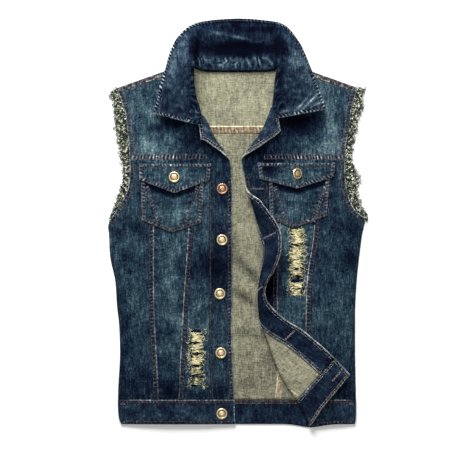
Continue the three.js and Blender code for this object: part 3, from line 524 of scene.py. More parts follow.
# Smaller wrinkles and the faded and dark places of each front, across the flat cloth; some dark places are
# painted shade
RIGHT["wrinkles"] = rows("x y length width turn height", [
    (205, -40, 22, 3.2, 28, 0.8), (200, -58, 26, 3, 24, -0.7), (190, -98, 24, 4, 40, 0.6),
    (180, 20, 20, 4, 62, 0.6), (186, 60, 16, 3, 80, 0.5), (160, -150, 30, 4, -35, 0.6),
    (185, -165, 22, 3.4, -28, -0.6), (192, -240, 20, 4, -12, 0.6), (170, -275, 26, 4, 14, 0.5),
    (120, -110, 22, 4, 65, 0.5), (118, -180, 20, 3.6, 40, -0.5), (115, -270, 20, 4, -20, 0.5),
    (60, -100, 22, 4, 70, 0.5), (48, -190, 18, 3.6, 30, 0.5), (55, -295, 20, 4, 12, 0.6),
    (40, -280, 22, 3, -14, -0.6), (150, 180, 24, 4, 70, 0.6), (120, 150, 26, 5, 60, 0.6),
    (175, 140, 18, 3.4, 75, -0.5), (165, 215, 18, 4, 55, 0.6), (90, 130, 20, 4, 20, 0.5),
    (30, 10, 18, 4, 78, 0.4), (60, 60, 18, 4, 40, 0.4), (150, -340, 40, 4, 3, 0.5),
])
LEFT["wrinkles"] = rows("x y length width turn height", [
    (200, -30, 24, 3.4, -34, 0.8), (190, -62, 26, 3.2, -30, -0.7), (176, -90, 28, 4, -20, 0.6),
    (165, -20, 20, 4, -64, 0.6), (160, -150, 30, 4, 30, 0.6), (185, -170, 24, 3.6, 22, -0.6),
    (170, -240, 26, 4, -14, 0.7), (188, -262, 20, 3.4, -24, -0.6), (150, -285, 26, 4, 16, 0.6),
    (100, -150, 18, 4, 70, 0.5), (112, -185, 18, 4, 40, 0.5), (98, -30, 16, 4, 60, 0.4),
    (160, 190, 20, 4, -62, 0.7), (150, 150, 26, 4, -50, 0.6), (175, 170, 18, 3.4, -75, -0.6),
    (120, 190, 22, 4, -30, 0.6), (110, 140, 24, 5, 20, 0.6), (92, 160, 20, 4, -40, 0.5),
    (180, 60, 16, 3.6, 85, 0.5), (60, -180, 16, 3.6, 52, 0.5), (45, -240, 18, 3.4, 40, -0.4),
    (180, -335, 26, 4, 4, 0.5), (70, -300, 18, 4, 30, 0.5), (30, -120, 14, 4, 10, 0.5),
])
# Painted shade: the rows at (72, 142) and (112, 175) are the shadow of the lapel and collar point over less
# faded cloth
RIGHT["fades"] = rows("x y length width turn amount", [
    (154, 150, 34, 52, 0, 0.10), (120, 128, 60, 18, 0, 0.07), (168, 205, 40, 20, 40, 0.06),
    (72, 142, 40, 30, -40, -0.28), (112, 175, 44, 12, -14, -0.3), (115, -55, 20, 60, 0, 0.10),
    (113, -150, 18, 60, 0, 0.06), (116, -235, 20, 30, 0, 0.04), (118, -295, 26, 22, 0, -0.12),
    (42, -76, 38, 27, 0, -0.25), (45, -175, 22, 40, 0, 0.05), (60, -300, 44, 16, 0, -0.10),
    (180, -60, 22, 60, 0, 0.05), (196, -190, 12, 90, 0, -0.09), (176, -150, 26, 40, 0, 0.05),
    (170, -290, 40, 24, 0, -0.09), (200, -280, 14, 40, 0, -0.06), (190, 90, 10, 70, 0, -0.06),
    (26, 60, 18, 44, 0, -0.08), (26, -200, 8, 80, 0, 0.06), (100, 15, 40, 10, 0, 0.06),
])
# Painted shade: the rows at (96, 160), (58, 116) and (112, 180) are the shadow of the lapel and collar point
# over less faded cloth, and the row at (58, -100) is the shadow beside the standing placket
LEFT["fades"] = rows("x y length width turn amount", [
    (160, 190, 16, 56, 14, 0.17), (150, 132, 44, 20, 0, 0.11), (96, 160, 42, 28, 0, -0.24),
    (58, 116, 26, 22, 0, -0.26), (112, 180, 46, 12, 7, -0.26), (95, -140, 18, 30, 0, 0.04),
    (58, -100, 11, 36, 0, -0.34), (80, -18, 14, 24, 0, 0.12), (95, -70, 20, 60, 0, 0.02),
    (176, -135, 30, 60, 0, 0.06), (170, -235, 40, 34, 0, -0.07), (188, -290, 26, 30, 0, -0.12),
    (196, -60, 14, 60, 0, -0.08), (190, 60, 12, 60, 0, -0.05), (195, -200, 12, 50, 0, 0.05),
    (140, -190, 16, 50, 0, 0.03), (60, -200, 24, 24, 0, -0.06), (40, 60, 26, 60, 0, -0.10),
])


def crease_at(front, y):
    """Where the cloth leaves the lying panel: the visible fold and the width of the roll."""
    roll = (ROLL_RADIUS + CLOTH) * np.minimum(1, np.maximum(0, along(front["folds"], "turned", y)) / (8 * MM))
    return along(front["folds"], "fold", y) + roll


def edge_at(front, y):
    """The front edge across the flat cloth."""
    return crease_at(front, y) - np.maximum(0.2 * MM, along(front["folds"], "turned", y))


def side_at(front, y):
    """The side edge or armhole edge across the flat cloth."""
    return along(OUTLINE, front["name"], y)


def lying_top(front, x, y):
    """Height of a front that lies on the back: low at the side, fuller in the middle, with its creases."""
    from_side, from_fold = side_at(front, y) - x, x - crease_at(front, y)
    z = SIDE_TOP + (FRONT_TOP - SIDE_TOP) * smooth(from_side / (30 * MM))
    z = z + BILLOW * smooth(from_side / (90 * MM)) * smooth(from_fold / (70 * MM))
    bound = smooth(from_fold / (30 * MM)) * smooth(from_side / (20 * MM))
    return z + mounds(front["creases"], x, y, "height") * bound


def turn_over(run, total, bend, droop):
    """How far a strip goes over and up: a round arc through the bend, then an even curl to the droop."""
    arc = np.minimum(bend * ROLL_RADIUS, total)
    start = arc / ROLL_RADIUS
    curl = (droop - start) / np.maximum(total - arc, 1e-6)
    angle = start + curl * (run - arc)
    over = ROLL_RADIUS * np.sin(start) + (np.sin(angle) - np.sin(start)) / curl
    up = ROLL_RADIUS * (1 - np.cos(start)) + (np.cos(start) - np.cos(angle)) / curl
    in_arc = run <= arc
    return (
        np.where(in_arc, ROLL_RADIUS * np.sin(run / ROLL_RADIUS), over),
        np.where(in_arc, ROLL_RADIUS * (1 - np.cos(run / ROLL_RADIUS)), up),
    )


def place(front, x, y):
    """A point of the flat cloth in its place on the vest: past the crease it swings round and over."""
    x, y = np.broadcast_arrays(np.asarray(x, float), np.asarray(y, float))
    crease = crease_at(front, y)
    past = crease - x
    lies = past <= 0
    turn = (along(front["folds"], "swing", y) - np.pi) / 2
    across_share, along_share = -np.sin(turn), -np.cos(turn)
    run = np.maximum(past, 0)
    total = np.maximum(np.maximum(crease - edge_at(front, y), run), 1e-6) * across_share
    over, up = turn_over(
        run * across_share, total, along(front["folds"], "bend", y),
        along(front["folds"], "droop", y) + 0.001,
    )
    px = crease + run * along_share * np.cos(turn) + over * np.sin(turn)
    py = y + run * along_share * np.sin(turn) - over * np.cos(turn)
    z = lying_top(front, np.where(lies, x, crease), y) + np.where(lies, 0, up)
    return np.stack([front["sign"] * np.where(lies, x, px), np.where(lies, y, py), z], -1)


def outward(front, x, y):
    """The direction that the blue face looks, from its neighbours across and up the cloth."""
    h = 0.4 * MM
    across = place(front, x + h, y) - place(front, x - h, y)
    upward = place(front, x, y + h) - place(front, x, y - h)
    normal = front["sign"] * np.cross(across, upward)
    return normal / np.linalg.norm(normal, axis=-1, keepdims=True)


PUCKER_PITCH = 1.5 * MM


def puckers(front, x, y):
    """Ripples of the cloth beside its seams, fading away from them."""
    phase = 2.2 * patchy(x, y, 25 * MM, 11)
    waves = 0
    for column in ("inner", "outer"):
        off = np.abs(x - along(front["seams"], column, y))
        waves = waves + np.sin(y / PUCKER_PITCH + phase) * np.exp(-off / (7 * MM)) * (y < YOKE_Y)
    for seam_y in (YOKE_Y, WAIST_Y):
        waves = waves + np.sin(x / PUCKER_PITCH + phase) * np.exp(-np.abs(y - seam_y) / (8 * MM))
    return waves


def relief(front, x, y):
    """Small form on a front: wrinkles, seam ripples and a soft unevenness."""
    free = smooth((side_at(front, y) - x) / (10 * MM)) * smooth((x - edge_at(front, y)) / (10 * MM))
    soft = 0.16 * MM * patchy(x, y, 9 * MM, 12) + 0.25 * MM * patchy(x, y, 22 * MM, 13)
    return free * (mounds(front["wrinkles"], x, y, "height") + soft) + 0.16 * MM * puckers(front, x, y) * free


def front_wash(front, x, y, tone):
    """How washed out the blue is: its fades and painted shade, paler tops of wrinkles and ripples, and a worn
    front edge.
    """
    mottled = patchy(x, y, 34 * MM, 14) + patchy(x, y, 12 * MM, 16)
    wash = tone + 1.4 * mounds(front["fades"], x, y, "amount") + 0.07 * mottled
    wash = wash + 0.10 * puckers(front, x, y) + 90 * mounds(front["wrinkles"], x, y, "height")
    from_edge = x - edge_at(front, y)
    return wash + 0.5 * np.exp(-((from_edge / (1.3 * MM)) ** 2))


def front_piece(
    front, node, x, y, tone, lift=0.0, slot="denim", finishes=(denim, inside), tone_in=0.46, keep=None,
    rolled=False,
):
    """One piece of a front: a wall of cloth in its place, with its relief. Its side may roll down."""
    base, normal = place(front, x, y), outward(front, x, y)
    height = relief(front, x, y)[..., None]
    if keep is not None:
        height = height - RIP_RECESS * rip_depth(front, x, y)[..., None]
    outer = base + normal * (lift + height)
    inner = base + normal * (lift - CLOTH + 0.6 * height)
    if rolled:
        inward = np.clip((side_at(front, y) - x) / (6 * MM), 0, 1)
        round_off = np.sqrt(1 - (1 - inward) ** 2)
        low_edge = 0.9 * MM
        outer[..., 2] = low_edge + (outer[..., 2] - low_edge) * (0.25 + 0.75 * round_off)
        inner[..., 2] = np.minimum(inner[..., 2], outer[..., 2] - 0.25 * MM)
    wash = front_wash(front, x, y, tone)
    if keep is not None:
        deep = rip_depth(front, x, y)
        # Painted shade: the cloth inside a rip is darker by its depth, and paler in a ring near its ragged
        # edge.
        wash = wash - 0.2 * deep + 0.3 * np.exp(-(((deep - 0.2) / 0.2) ** 2))
    wash_in = tone_in + 0.06 * patchy(x, y, 20 * MM, 15)
    if finishes[-1] is not inside:
        wash_in = wash_in + 0.6 * np.exp(-(((x - edge_at(front, y)) / (1.5 * MM)) ** 2))
    sides = wall(outer, inner, cut_of(front["sign"] * x, y), wash, wash_in, keep)
    piece = shell(f"{node}_cloth", [sides], finishes)
    turned = bool(np.any(x < crease_at(front, y) - CLOTH))
    declare(piece, x, y, node, slot)
    return piece


def front_grid(front, inner, outer, low, high, columns, step, crowd=1.0):
    """A grid between two edges, each a line of the front and how far off it lies, from a low to a high line
    that may slant. The crowd packs columns to the front edge."""
    s = np.linspace(0, 1, columns)[None, :] ** crowd
    ends = (line(front, s) if callable(line) else line for line in (low, high))
    low_line, high_line = (np.broadcast_to(end, s.shape) for end in ends)
    t = mesh_steps(0, float(np.max(high_line - low_line)), step)[:, None]
    y = low_line + (high_line - low_line) * t
    inner_x, outer_x = (line(front, y) + off for line, off in (inner, outer))
    return inner_x * (1 - s) + outer_x * s, y


def placket_edge(front, y):
    """The front edge below the lapel's corner, and the slant above it."""
    return edge_at(front, np.minimum(y, front["corner"]))


def placket_seam(front, y):
    """The seam between the placket and the panels."""
    return placket_edge(front, y) + PLACKET_WIDTH


def neck_or_seam(front, y):
    """The inner edge of the yoke: the placket's seam, and the neck edge above it."""
    at_neck = along(front["neck"], "x", y)
    return np.where(y < front["neck"]["y"][0], placket_seam(front, y), at_neck)


def inner_seam(front, y):
    """The princess seam nearer to the front edge."""
    return along(front["seams"], "inner", y)


def outer_seam(front, y):
    """The princess seam nearer to the side."""
    return along(front["seams"], "outer", y)


def lapel_slant(front, s):
    """The top of the placket, from the lapel's corner to the neck."""
    return front["corner"] * (1 - s) + front["neck"]["y"][0] * s


def shoulder_x(front, s):
    """Places along a shoulder, from the neck to the armhole."""
    return NECK_X * (1 - s) + side_at(front, SHOULDER_TIP_Y) * s


def yoke_head(front, s):
    """The shoulder seam, along the top of the front yoke."""
    return shoulder_y(shoulder_x(front, s)) - SHOULDER_WRAP - half


RIPS = {
    "right": {"panel": "centre", "x": 72 * MM, "half_width": 13.5 * MM, "low": -288 * MM, "high": -184 * MM},
    "left": {"panel": "mid", "x": 103.5 * MM, "half_width": 14 * MM, "low": -127 * MM, "high": -10 * MM},
}
RIP_RECESS = 0.8 * MM
RIP_GAPS = {
    "right": rows("x y wide tall", [(74, -227.5, 6, 4.6), (70.4, -267, 9.6, 4.6)]),
    "left": rows("x y wide tall", [(99.3, -95.4, 10.5, 7.5)]),
}


def rip_depth(front, x, y):
    """How far inside the rip a point is, from 0 at its ragged edge to 1."""
    rip = RIPS[front["name"]]
    ragged = 2.4 * MM * patchy(x, y, 5 * MM, 21)
    across = (rip["half_width"] + ragged - np.abs(x - rip["x"])) / (4 * MM)
    upward = np.minimum(y - rip["low"] + ragged, rip["high"] + ragged - y) / (4 * MM)
    return smooth(np.minimum(across, upward))


def solid_cells(front, x, y):
    """The cells of a grid that aren't worn right through."""
    middle_x = (x[:-1, :-1] + x[1:, 1:]) / 2
    middle_y = (y[:-1, :-1] + y[1:, 1:]) / 2
    gaps = RIP_GAPS[front["name"]]
    keep = np.ones(middle_x.shape, bool)
    for k, gap_x in enumerate(gaps["x"]):
        away = (
            ((middle_x - gap_x) / gaps["wide"][k]) ** 2 + ((middle_y - gaps["y"][k]) / gaps["tall"][k]) ** 2
        )
        keep &= away > 0.25
    return keep


TONES = {
    "right": {"placket": 0.34, "yoke": 0.47, "centre": 0.36, "mid": 0.39, "side": 0.37, "band": 0.395},
    "left": {"placket": 0.34, "yoke": 0.465, "centre": 0.35, "mid": 0.32, "side": 0.37, "band": 0.38},
}
for front in (RIGHT, LEFT):
    name, tones = front["name"], TONES[front["name"]]
    foot, head = WAIST_Y + half, YOKE_Y - half
    edge_to_seam = (placket_edge, 0), (placket_seam, -half)
    px, py = front_grid(front, *edge_to_seam, foot, lapel_slant, 30, 2.4 * MM)
    front_piece(front, f"placket_{name}", px, py, tones["placket"])
    facing_tone = 0.25 + 0.19 * smooth((py - 84 * MM) / (34 * MM))
    facing_look = {"slot": "dark_denim", "finishes": (inside, dark_denim), "tone_in": facing_tone}
    front_piece(front, f"facing_{name}", px, py, 0.3, lift=-CLOTH - SEAM_GAP, **facing_look)
    yoke_sides = (neck_or_seam, half), (side_at, 0)
    yx, yy = front_grid(front, *yoke_sides, YOKE_Y + half, yoke_head, 60, 2.6 * MM, 1.25)
    front_piece(front, f"front_yoke_{name}", yx, yy, tones["yoke"])
    panels = [
        ("centre", (placket_seam, half), (inner_seam, -half), 30, 2.4 * MM),
        ("mid", (inner_seam, half), (outer_seam, -half), 24, 2.4 * MM),
        ("side", (outer_seam, half), (side_at, 0), 30, 2.6 * MM),
    ]
    for panel, inner, outer, columns, step in panels:
        gx, gy = front_grid(front, inner, outer, foot, head, columns, step)
        keep = solid_cells(front, gx, gy) if RIPS[name]["panel"] == panel else None
        front_piece(front, f"front_{panel}_{name}", gx, gy, tones[panel], keep=keep, rolled=panel == "side")
    bx, by = front_grid(front, (edge_at, 0), (side_at, 0), HEM_Y, WAIST_Y - half, 90, 2.4 * MM)
    if front is LEFT:
        lift_share = (by - HEM_Y) / (WAIST_Y - half - HEM_Y)
        by = hem_y(bx) * (1 - lift_share) + (WAIST_Y - half) * lift_share
        band_s = np.linspace(0, 1, bx.shape[1])[None, :]
        bx = edge_at(front, by) * (1 - band_s) + side_at(front, by) * band_s
    band_look = {"slot": "dark_denim", "finishes": (dark_denim, dark_denim), "tone_in": 0.3}
    front_piece(front, f"waistband_{name}", bx, by, tones["band"], **band_look)

# Shoulder turns: the yoke's cloth rolls over the top of each shoulder and ends in the shoulder seam on the
# front. Its blue face is outside, roped and faded by the seam under it.
WORN_ROPE = [
    (0.0, (0.003, 0.003, 0.010)),
    (0.3, (0.026, 0.026, 0.038)),
    (0.6, (0.13, 0.128, 0.125)),
    (1.0, (0.60, 0.57, 0.46)),
]
worn_rope = cloth_finish("worn_rope", WORN_ROPE, 0.16, 0.40, 0.20, 0.20, TWILL_TURN)


def shoulder_turn(front):
    """The turn as a strip: level under the shoulder, round its top edge, and level again down to the seam."""
    x = shoulder_x(front, np.linspace(0, 1, 90))[None, :]
    top = lying_top(front, x, shoulder_y(x) - SHOULDER_WRAP)
    radius = top / 2 - 0.03 * MM
    centre_y = shoulder_y(x) - top / 2
    under_y = centre_y - 4 * MM * (1 - np.linspace(0, 1, 4)[:-1, None])
    angle = np.linspace(0, np.pi, 14)[:, None]
    front_y = centre_y + (shoulder_y(x) - SHOULDER_WRAP + half - centre_y) * np.linspace(0, 1, 8)[1:, None]
    flat_under, flat_front = 0 * under_y, 0 * front_y
    round_z = top / 2 - radius * np.cos(angle)
    y = np.concatenate([under_y, centre_y + radius * np.sin(angle), front_y])
    z = np.concatenate([flat_under + top / 2 - radius, round_z, flat_front + top / 2 + radius])
    normal_y = np.concatenate([flat_under, np.sin(angle) + 0 * x, flat_front])
    normal_z = np.concatenate([flat_under - 1, -np.cos(angle) + 0 * x, flat_front + 1])
    normal = np.stack([0 * y, normal_y, normal_z], -1)
    rope = np.sin(x / (0.55 * MM) + 4 * patchy(x, y, 9 * MM, 51))
    height = np.where(normal_z > 0, 0.2 * MM * rope + 0.15 * MM * patchy(x, y, 6 * MM, 52), 0)[..., None]
    outer = np.stack([front["sign"] * x + 0 * y, y, z], -1) + normal * height
    run = np.cumsum(np.pad(np.hypot(np.diff(y, axis=0), np.diff(z, axis=0)), ((1, 0), (0, 0))), axis=0)
    worn_edge = np.exp(-(((run - run[-1:]) / (1.6 * MM)) ** 2))
    wash = 0.36 + 0.16 * rope + 0.32 * patchy(x, y, 4 * MM, 53) + 0.3 * worn_edge
    sides = wall(outer, outer - normal * CLOTH, cut_of(x + 0 * y, run), wash)
    piece = shell(f"shoulder_turn_{front['name']}", [sides], (worn_rope, inside))
    declare(piece, x + 0 * y, run, "back_yoke", "denim")


shoulder_turn(RIGHT)
shoulder_turn(LEFT)

# Felled seams and stitched edges: the cloth's edges are lapped, folded in and sewn down with two rows of
# brown thread. Washing has roped them, so that they are pale on their high places and dark beside them.
FELL_WIDTH = 10.5 * MM
SEAM_FOOT = WAIST_Y + 1 * MM
EDGE_INSET = 0.7 * MM
STITCH_PITCH = 3.3 * MM
STITCH_RADIUS = 0.36 * MM
SEAM_INDIGO = [
    (0.0, (0.0015, 0.0015, 0.006)),
    (0.25, (0.0062, 0.0085, 0.020)),
    (0.5, (0.033, 0.043, 0.060)),
    (0.75, (0.14, 0.165, 0.180)),
    (1.0, (0.66, 0.68, 0.64)),
]
seam_denim = cloth_finish("seam_denim", SEAM_INDIGO, 0.14, 0.30, 0.16, 0.06, TWILL_TURN)
THREAD_TONES = {
    "brown_thread": [(0.0, (0.02, 0.012, 0.018)), (0.5, (0.095, 0.055, 0.058)), (1.0, (0.40, 0.31, 0.27))],
    "ochre_thread": [(0.0, (0.07, 0.036, 0.018)), (0.5, (0.30, 0.17, 0.08)), (1.0, (0.72, 0.64, 0.46))],
    "pale_thread": [(0.0, (0.02, 0.022, 0.035)), (0.5, (0.16, 0.17, 0.19)), (1.0, (0.62, 0.64, 0.62))],
    "purple_thread": [(0.0, (0.02, 0.010, 0.020)), (0.55, (0.13, 0.080, 0.095)), (1.0, (0.66, 0.60, 0.58))],
}


def patched_tone(tree, scale, detail, vary):
    """The wash attribute with noise added, by how much it varies. Returns the tone and the noise."""
    spot = add_node(tree, "ShaderNodeTexCoord", {}).outputs["Object"]
    feeds = {"Vector": spot, "Scale": scale, "Detail": detail}
    noise = add_node(tree, "ShaderNodeTexNoise", feeds).outputs["Fac"]
    part = add_node(tree, "ShaderNodeMath", {0: noise, 1: vary, 2: -vary / 2}, operation="MULTIPLY_ADD")
    wash = add_node(tree, "ShaderNodeAttribute", {}, attribute_name="wash").outputs["Fac"]
    tone = add_node(tree, "ShaderNodeMath", {0: wash, 1: part.outputs[0]}, operation="ADD").outputs[0]
    return tone, noise


def yarn_finish(name, tones, patch=3.0, vary=0.5):
    """Spun cotton: the wash attribute and patches of a few millimetres pick a tone."""
    material, tree, shader = surface_finish(name, 0.95, **{"Sheen Weight": 0.2, "Specular IOR Level": 0.15})
    pick_colour(tree, shader, patched_tone(tree, 1000 / patch, 2.0, vary)[0], tones)
    return material


thread_finishes = {name: yarn_finish(name, tones) for name, tones in THREAD_TONES.items()}


def evenly(line, step):
    """The same line with points a step apart, and how far along it each one is."""
    lengths = np.cumsum(np.pad(np.hypot(*np.diff(line, axis=0).T), (1, 0)))
    count = max(2, int(round(lengths[-1] / step)) + 1)
    at = np.linspace(0, lengths[-1], count)
    return np.stack([np.interp(at, lengths, line[:, 0]), np.interp(at, lengths, line[:, 1])], -1), at


def beside_line(line, off):
    """A line moved sideways by a distance, to the left of its travel where that is positive."""
    run = np.gradient(line, axis=0)
    run = run / np.linalg.norm(run, axis=1, keepdims=True)
    return line + off * np.stack([-run[:, 1], run[:, 0]], -1)


def on_front(front, lift=0.0, under=None):
    """A function that gives points of a front's blue face, or of its inner face, which lies under it."""
    def surface(x, y, raised):
        base, normal, height = place(front, x, y), outward(front, x, y), relief(front, x, y)
        if under is None:
            return base + normal * (lift + height + raised)[..., None]
        return base + normal * (0.6 * height - under - raised)[..., None]
    return surface


def on_back(x, y, raised):
    """Points of the back's inside."""
    return np.stack([x, y, back_top(x, y) + raised], -1)


def roped_strip(
    surface, line, width, thick, tone, rope, ridge=0.0, far_ridge=0.0, seed=1, sign=1, fades=None,
):
    """A lapped strip along a line: rounded edges, valleys at its two rows, and twisted ripples between them.
    The ridge is the worn pale line at the edge on the seam, and far_ridge the one at the other edge. Returns
    the strip's wall and its flat area."""
    line, run = evenly(line, 1.3 * MM)
    columns = max(4, int(round(abs(width) / (1.25 * MM))))
    share = np.linspace(0, 1, columns + 1)[None, :]
    lanes = [beside_line(line, width * part) for part in share[0]]
    x, y = (np.stack([lane[:, k] for lane in lanes], 1) for k in (0, 1))
    unsteady = patchy(run[:, None], 0 * share + seed * 0.01, 14 * MM, seed)
    twist = run[:, None] / (0.93 * MM) + 2.4 * share + 2.5 * unsteady
    middle = np.sin(np.pi * share) ** 0.5
    size = 0.6 + 0.4 * patchy(run[:, None], 0 * share, 9 * MM, seed + 60)
    ripple = np.sin(twist) * middle * size
    valleys = np.exp(-(((share - 0.2) / 0.09) ** 2)) + np.exp(-(((share - 0.8) / 0.09) ** 2))
    edges = np.minimum(1, np.minimum(share, 1 - share) * abs(width) / (0.9 * MM))
    height = thick * (0.25 + 0.75 * np.sqrt(edges)) + 0.48 * MM * ripple * rope - 0.16 * MM * valleys
    near = np.exp(-((share * abs(width) / (1.15 * MM)) ** 2))
    near = near * (0.85 + 0.3 * patchy(x, y, 7 * MM, seed + 3))
    far = np.exp(-(((1 - share) * abs(width) / (1.5 * MM)) ** 2))
    far = far * (0.8 + 0.4 * patchy(x, y, 6 * MM, seed + 4))
    specks = 0.16 * patchy(x, y, 2.6 * MM, seed + 5)
    wash = tone + 0.44 * rope * ripple - 0.07 * valleys + ridge * near + far_ridge * far + specks
    # The front's fades and painted shade carry on over the strip.
    if fades is not None:
        wash = wash + mounds(fades, x, y, "amount")
    outer = surface(x, y, height)
    inner = surface(x, y, np.full(x.shape, -0.5 * MM))
    return wall(outer, inner, cut_of(sign * x, y), wash), run[-1] * abs(width)


def stitch_paths(surface, line, off, raised, pitch=STITCH_PITCH, gap=0.24):
    """Each stitch of a row as three points: down in the cloth, over it, and down again."""
    line, run = evenly(line, 0.8 * MM)
    lane = beside_line(line, off)
    starts = np.arange(0.5 * pitch, run[-1] - pitch, pitch)
    at = starts[:, None] + pitch * (1 - gap) * np.array([0, 0.5, 1.0])[None, :]
    x, y = np.interp(at, run, lane[:, 0]), np.interp(at, run, lane[:, 1])
    return surface(x, y, raised + MM * np.array([-0.12, 0.3, -0.12])[None, :])


def tubes(paths, radii):
    """Threads: a ring of four points round each point of each path, all at once, with closed ends."""
    threads, stations = paths.shape[:2]
    run = np.gradient(paths, axis=1)
    run = run / np.maximum(np.linalg.norm(run, axis=-1, keepdims=True), 1e-12)
    side = np.cross(run, (0.05, 0.02, 1.0))
    side = side / np.maximum(np.linalg.norm(side, axis=-1, keepdims=True), 1e-12)
    top = np.cross(side, run)
    angle = (np.pi / 2 * np.arange(4) + np.pi / 4)[:, None]
    round_it = np.cos(angle) * side[:, :, None, :] + np.sin(angle) * top[:, :, None, :]
    points = paths[:, :, None, :] + radii[:, :, None, None] * round_it
    index = np.arange(threads * stations * 4).reshape(threads, stations, 4)
    a, b = index[:, :-1], index[:, 1:]
    sides = np.stack([a, b, np.roll(b, -1, 2), np.roll(a, -1, 2)], -1).reshape(-1, 4)
    return points.reshape(-1, 3), np.concatenate([sides, index[:, 0], index[:, -1, ::-1]])


def threads(paths, radius, tone, spread=0.12, seed=3):
    """Many threads of one radius, thinner at their ends, each with its own tone, as arrays for a shell."""
    thin = np.where(np.arange(paths.shape[1]) % (paths.shape[1] - 1) == 0, 0.6, 1.0)
    points, quads = tubes(paths, radius * np.broadcast_to(thin, paths.shape[:2]))
    own_tone = tone + spread * (np.random.default_rng(seed).random(len(paths)) * 2 - 1)
    shade = np.repeat(own_tone, paths.shape[1] * 4)
    return points, quads, np.zeros(len(quads)), points[:, :2], shade


def sewn(name, walls, finish):
    """One piece of threads that hold the cloth, hung on the root."""
    piece = shell(name, walls, [finish])
    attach(piece, "root")
    return piece


def seam_piece(name, walls, area, finishes, slot, rests_on, held="laid"):
    """One piece of seam strips, hung on the root; the area of them all is not used."""
    piece = shell(name, walls, finishes)
    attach(piece, "root")


def straight(x0, y0, x1, y1):
    """A straight line in the flat cloth, given in metres."""
    return np.array([(x0, y0), (x1, y1)], float)


def rising(column, low, high):
    """A line up the flat cloth whose place across it is a function of the height."""
    y = np.linspace(low, high, 120)
    return np.stack([column(y) + 0 * y, y], -1)


def up_front(front, line, off, low, high):
    """A line up a front, at a distance from its edge, its side or a seam."""
    return rising(lambda y: line(front, y) + off, low, high)


def across_at(front, line, y):
    """Where a line of a front lies at one height."""
    return float(line(front, np.array(y)))


def level_line(front, first, first_off, last, last_off, y):
    """A level line across a front between two of its lines."""
    return straight(across_at(front, first, y) + first_off, y, across_at(front, last, y) + last_off, y)


def hem_run(front, low, high, above, count):
    """A line along a front's hem, a little above it."""
    x = np.linspace(low, high, count)
    return np.stack([x, (hem_y(x) if front is LEFT else HEM_Y + 0 * x) + above], -1)


brown, ochre, pale = [], [], []
for front in (RIGHT, LEFT):
    name, sign = front["name"], front["sign"]
    blue_face = on_front(front)
    walls, areas = [], []

    def add_strip(line, width, thick, tone, rope, **rest):
        """Adds a strip to this front's seams and keeps its flat area."""
        rest.update(sign=sign, seed=7 + len(walls), fades=front["fades"])
        made, area = roped_strip(blue_face, line, width, thick, tone, rope, **rest)
        walls.append(made)
        areas.append(area)

    yoke_line = level_line(front, edge_at, PLACKET_WIDTH, side_at, -1 * MM, YOKE_Y)
    add_strip(yoke_line, FELL_WIDTH, 0.9 * MM, 0.45, 1.2, ridge=0.40)
    inner_line = up_front(front, inner_seam, 0, SEAM_FOOT, 6 * MM)
    outer_line = up_front(front, outer_seam, 0, SEAM_FOOT, 6 * MM)
    add_strip(inner_line, 9 * MM, 0.8 * MM, 0.35, 0.5, ridge=0.62)
    add_strip(outer_line, -9.5 * MM, 0.8 * MM, 0.35, 0.5, ridge=0.62)
    armhole = up_front(front, side_at, -0.4 * MM, 2 * MM, SHOULDER_TIP_Y - 6 * MM)
    add_strip(armhole, 8 * MM, 0.35 * MM, 0.39, 0.4, ridge=0.6, far_ridge=0.2)
    hem_ends = across_at(front, edge_at, HEM_Y) + 1 * MM, across_at(front, side_at, HEM_Y) - 4 * MM
    hem_line = hem_run(front, *hem_ends, 0.6 * MM, 80)
    add_strip(hem_line, 6 * MM, 0.3 * MM, 0.33, 0.8, ridge=0.1)
    waist_line = level_line(front, edge_at, 1 * MM, side_at, -3 * MM, WAIST_Y)
    add_strip(waist_line, -6.5 * MM, 0.7 * MM, 0.38, 0.6, ridge=0.48)
    placket_line = up_front(front, edge_at, EDGE_INSET, SEAM_FOOT, 84 * MM)
    add_strip(placket_line, -6.5 * MM, 0.3 * MM, 0.38, 0.8, ridge=0.2)
    placket_in = up_front(front, edge_at, PLACKET_WIDTH - 0.5 * MM, SEAM_FOOT, YOKE_Y - 2 * MM)
    add_strip(placket_in, 5 * MM, 0.25 * MM, 0.35, 0.18)
    rests_on = f"front_centre_{name}_cloth"
    seam_piece(f"felled_seams_{name}", walls, sum(areas), (seam_denim, denim), "denim", rests_on)
    lanes = [
        (yoke_line, 2.2, 0.75), (yoke_line, 8.4, 0.75), (inner_line, 1.9, 0.65), (inner_line, 7.1, 0.65),
        (outer_line, -1.9, 0.65), (outer_line, -7.6, 0.65), (armhole, 6.0, 0.3), (armhole, 7.6, 0.3),
        (hem_line, 4.6, 0.3), (waist_line, -1.6, 0.6), (waist_line, -5.2, 0.6), (placket_line, -5.2, 0.3),
        (placket_in, 1.2, 0.2),
    ]
    brown += [stitch_paths(blue_face, line, off * MM, raised * MM) for line, off, raised in lanes]

# Chest pockets and their flaps: each is one patch of denim with a pointed lower edge. The pocket is sewn on
# by its sides and point, the flap hangs from the yoke seam over it, and both have roped, worn edges.
LAYER_GAP = 0.5 * MM
POCKET_LIFT = LAYER_GAP + CLOTH
FLAP_LIFT = POCKET_LIFT + LAYER_GAP + CLOTH
PATCH_COLUMNS = "side top_in top_out top in_x in_y tip_x tip_y out_x out_y"
POCKETS = rows(
    PATCH_COLUMNS,
    [(-1, 57, 170, 98, 63.4, 0, 116, -17, 167, 4.4), (1, 53, 162.3, 98, 56, 8.8, 96.9, -9.1, 155.7, 12.4)],
)
FLAPS = rows(
    PATCH_COLUMNS,
    [
        (-1, 47.3, 172.3, 103.5, 49, 75, 110, 51.6, 171.4, 75),
        (1, 34.6, 170, 105, 38, 77, 103.7, 59.7, 167.4, 80.3),
    ],
)


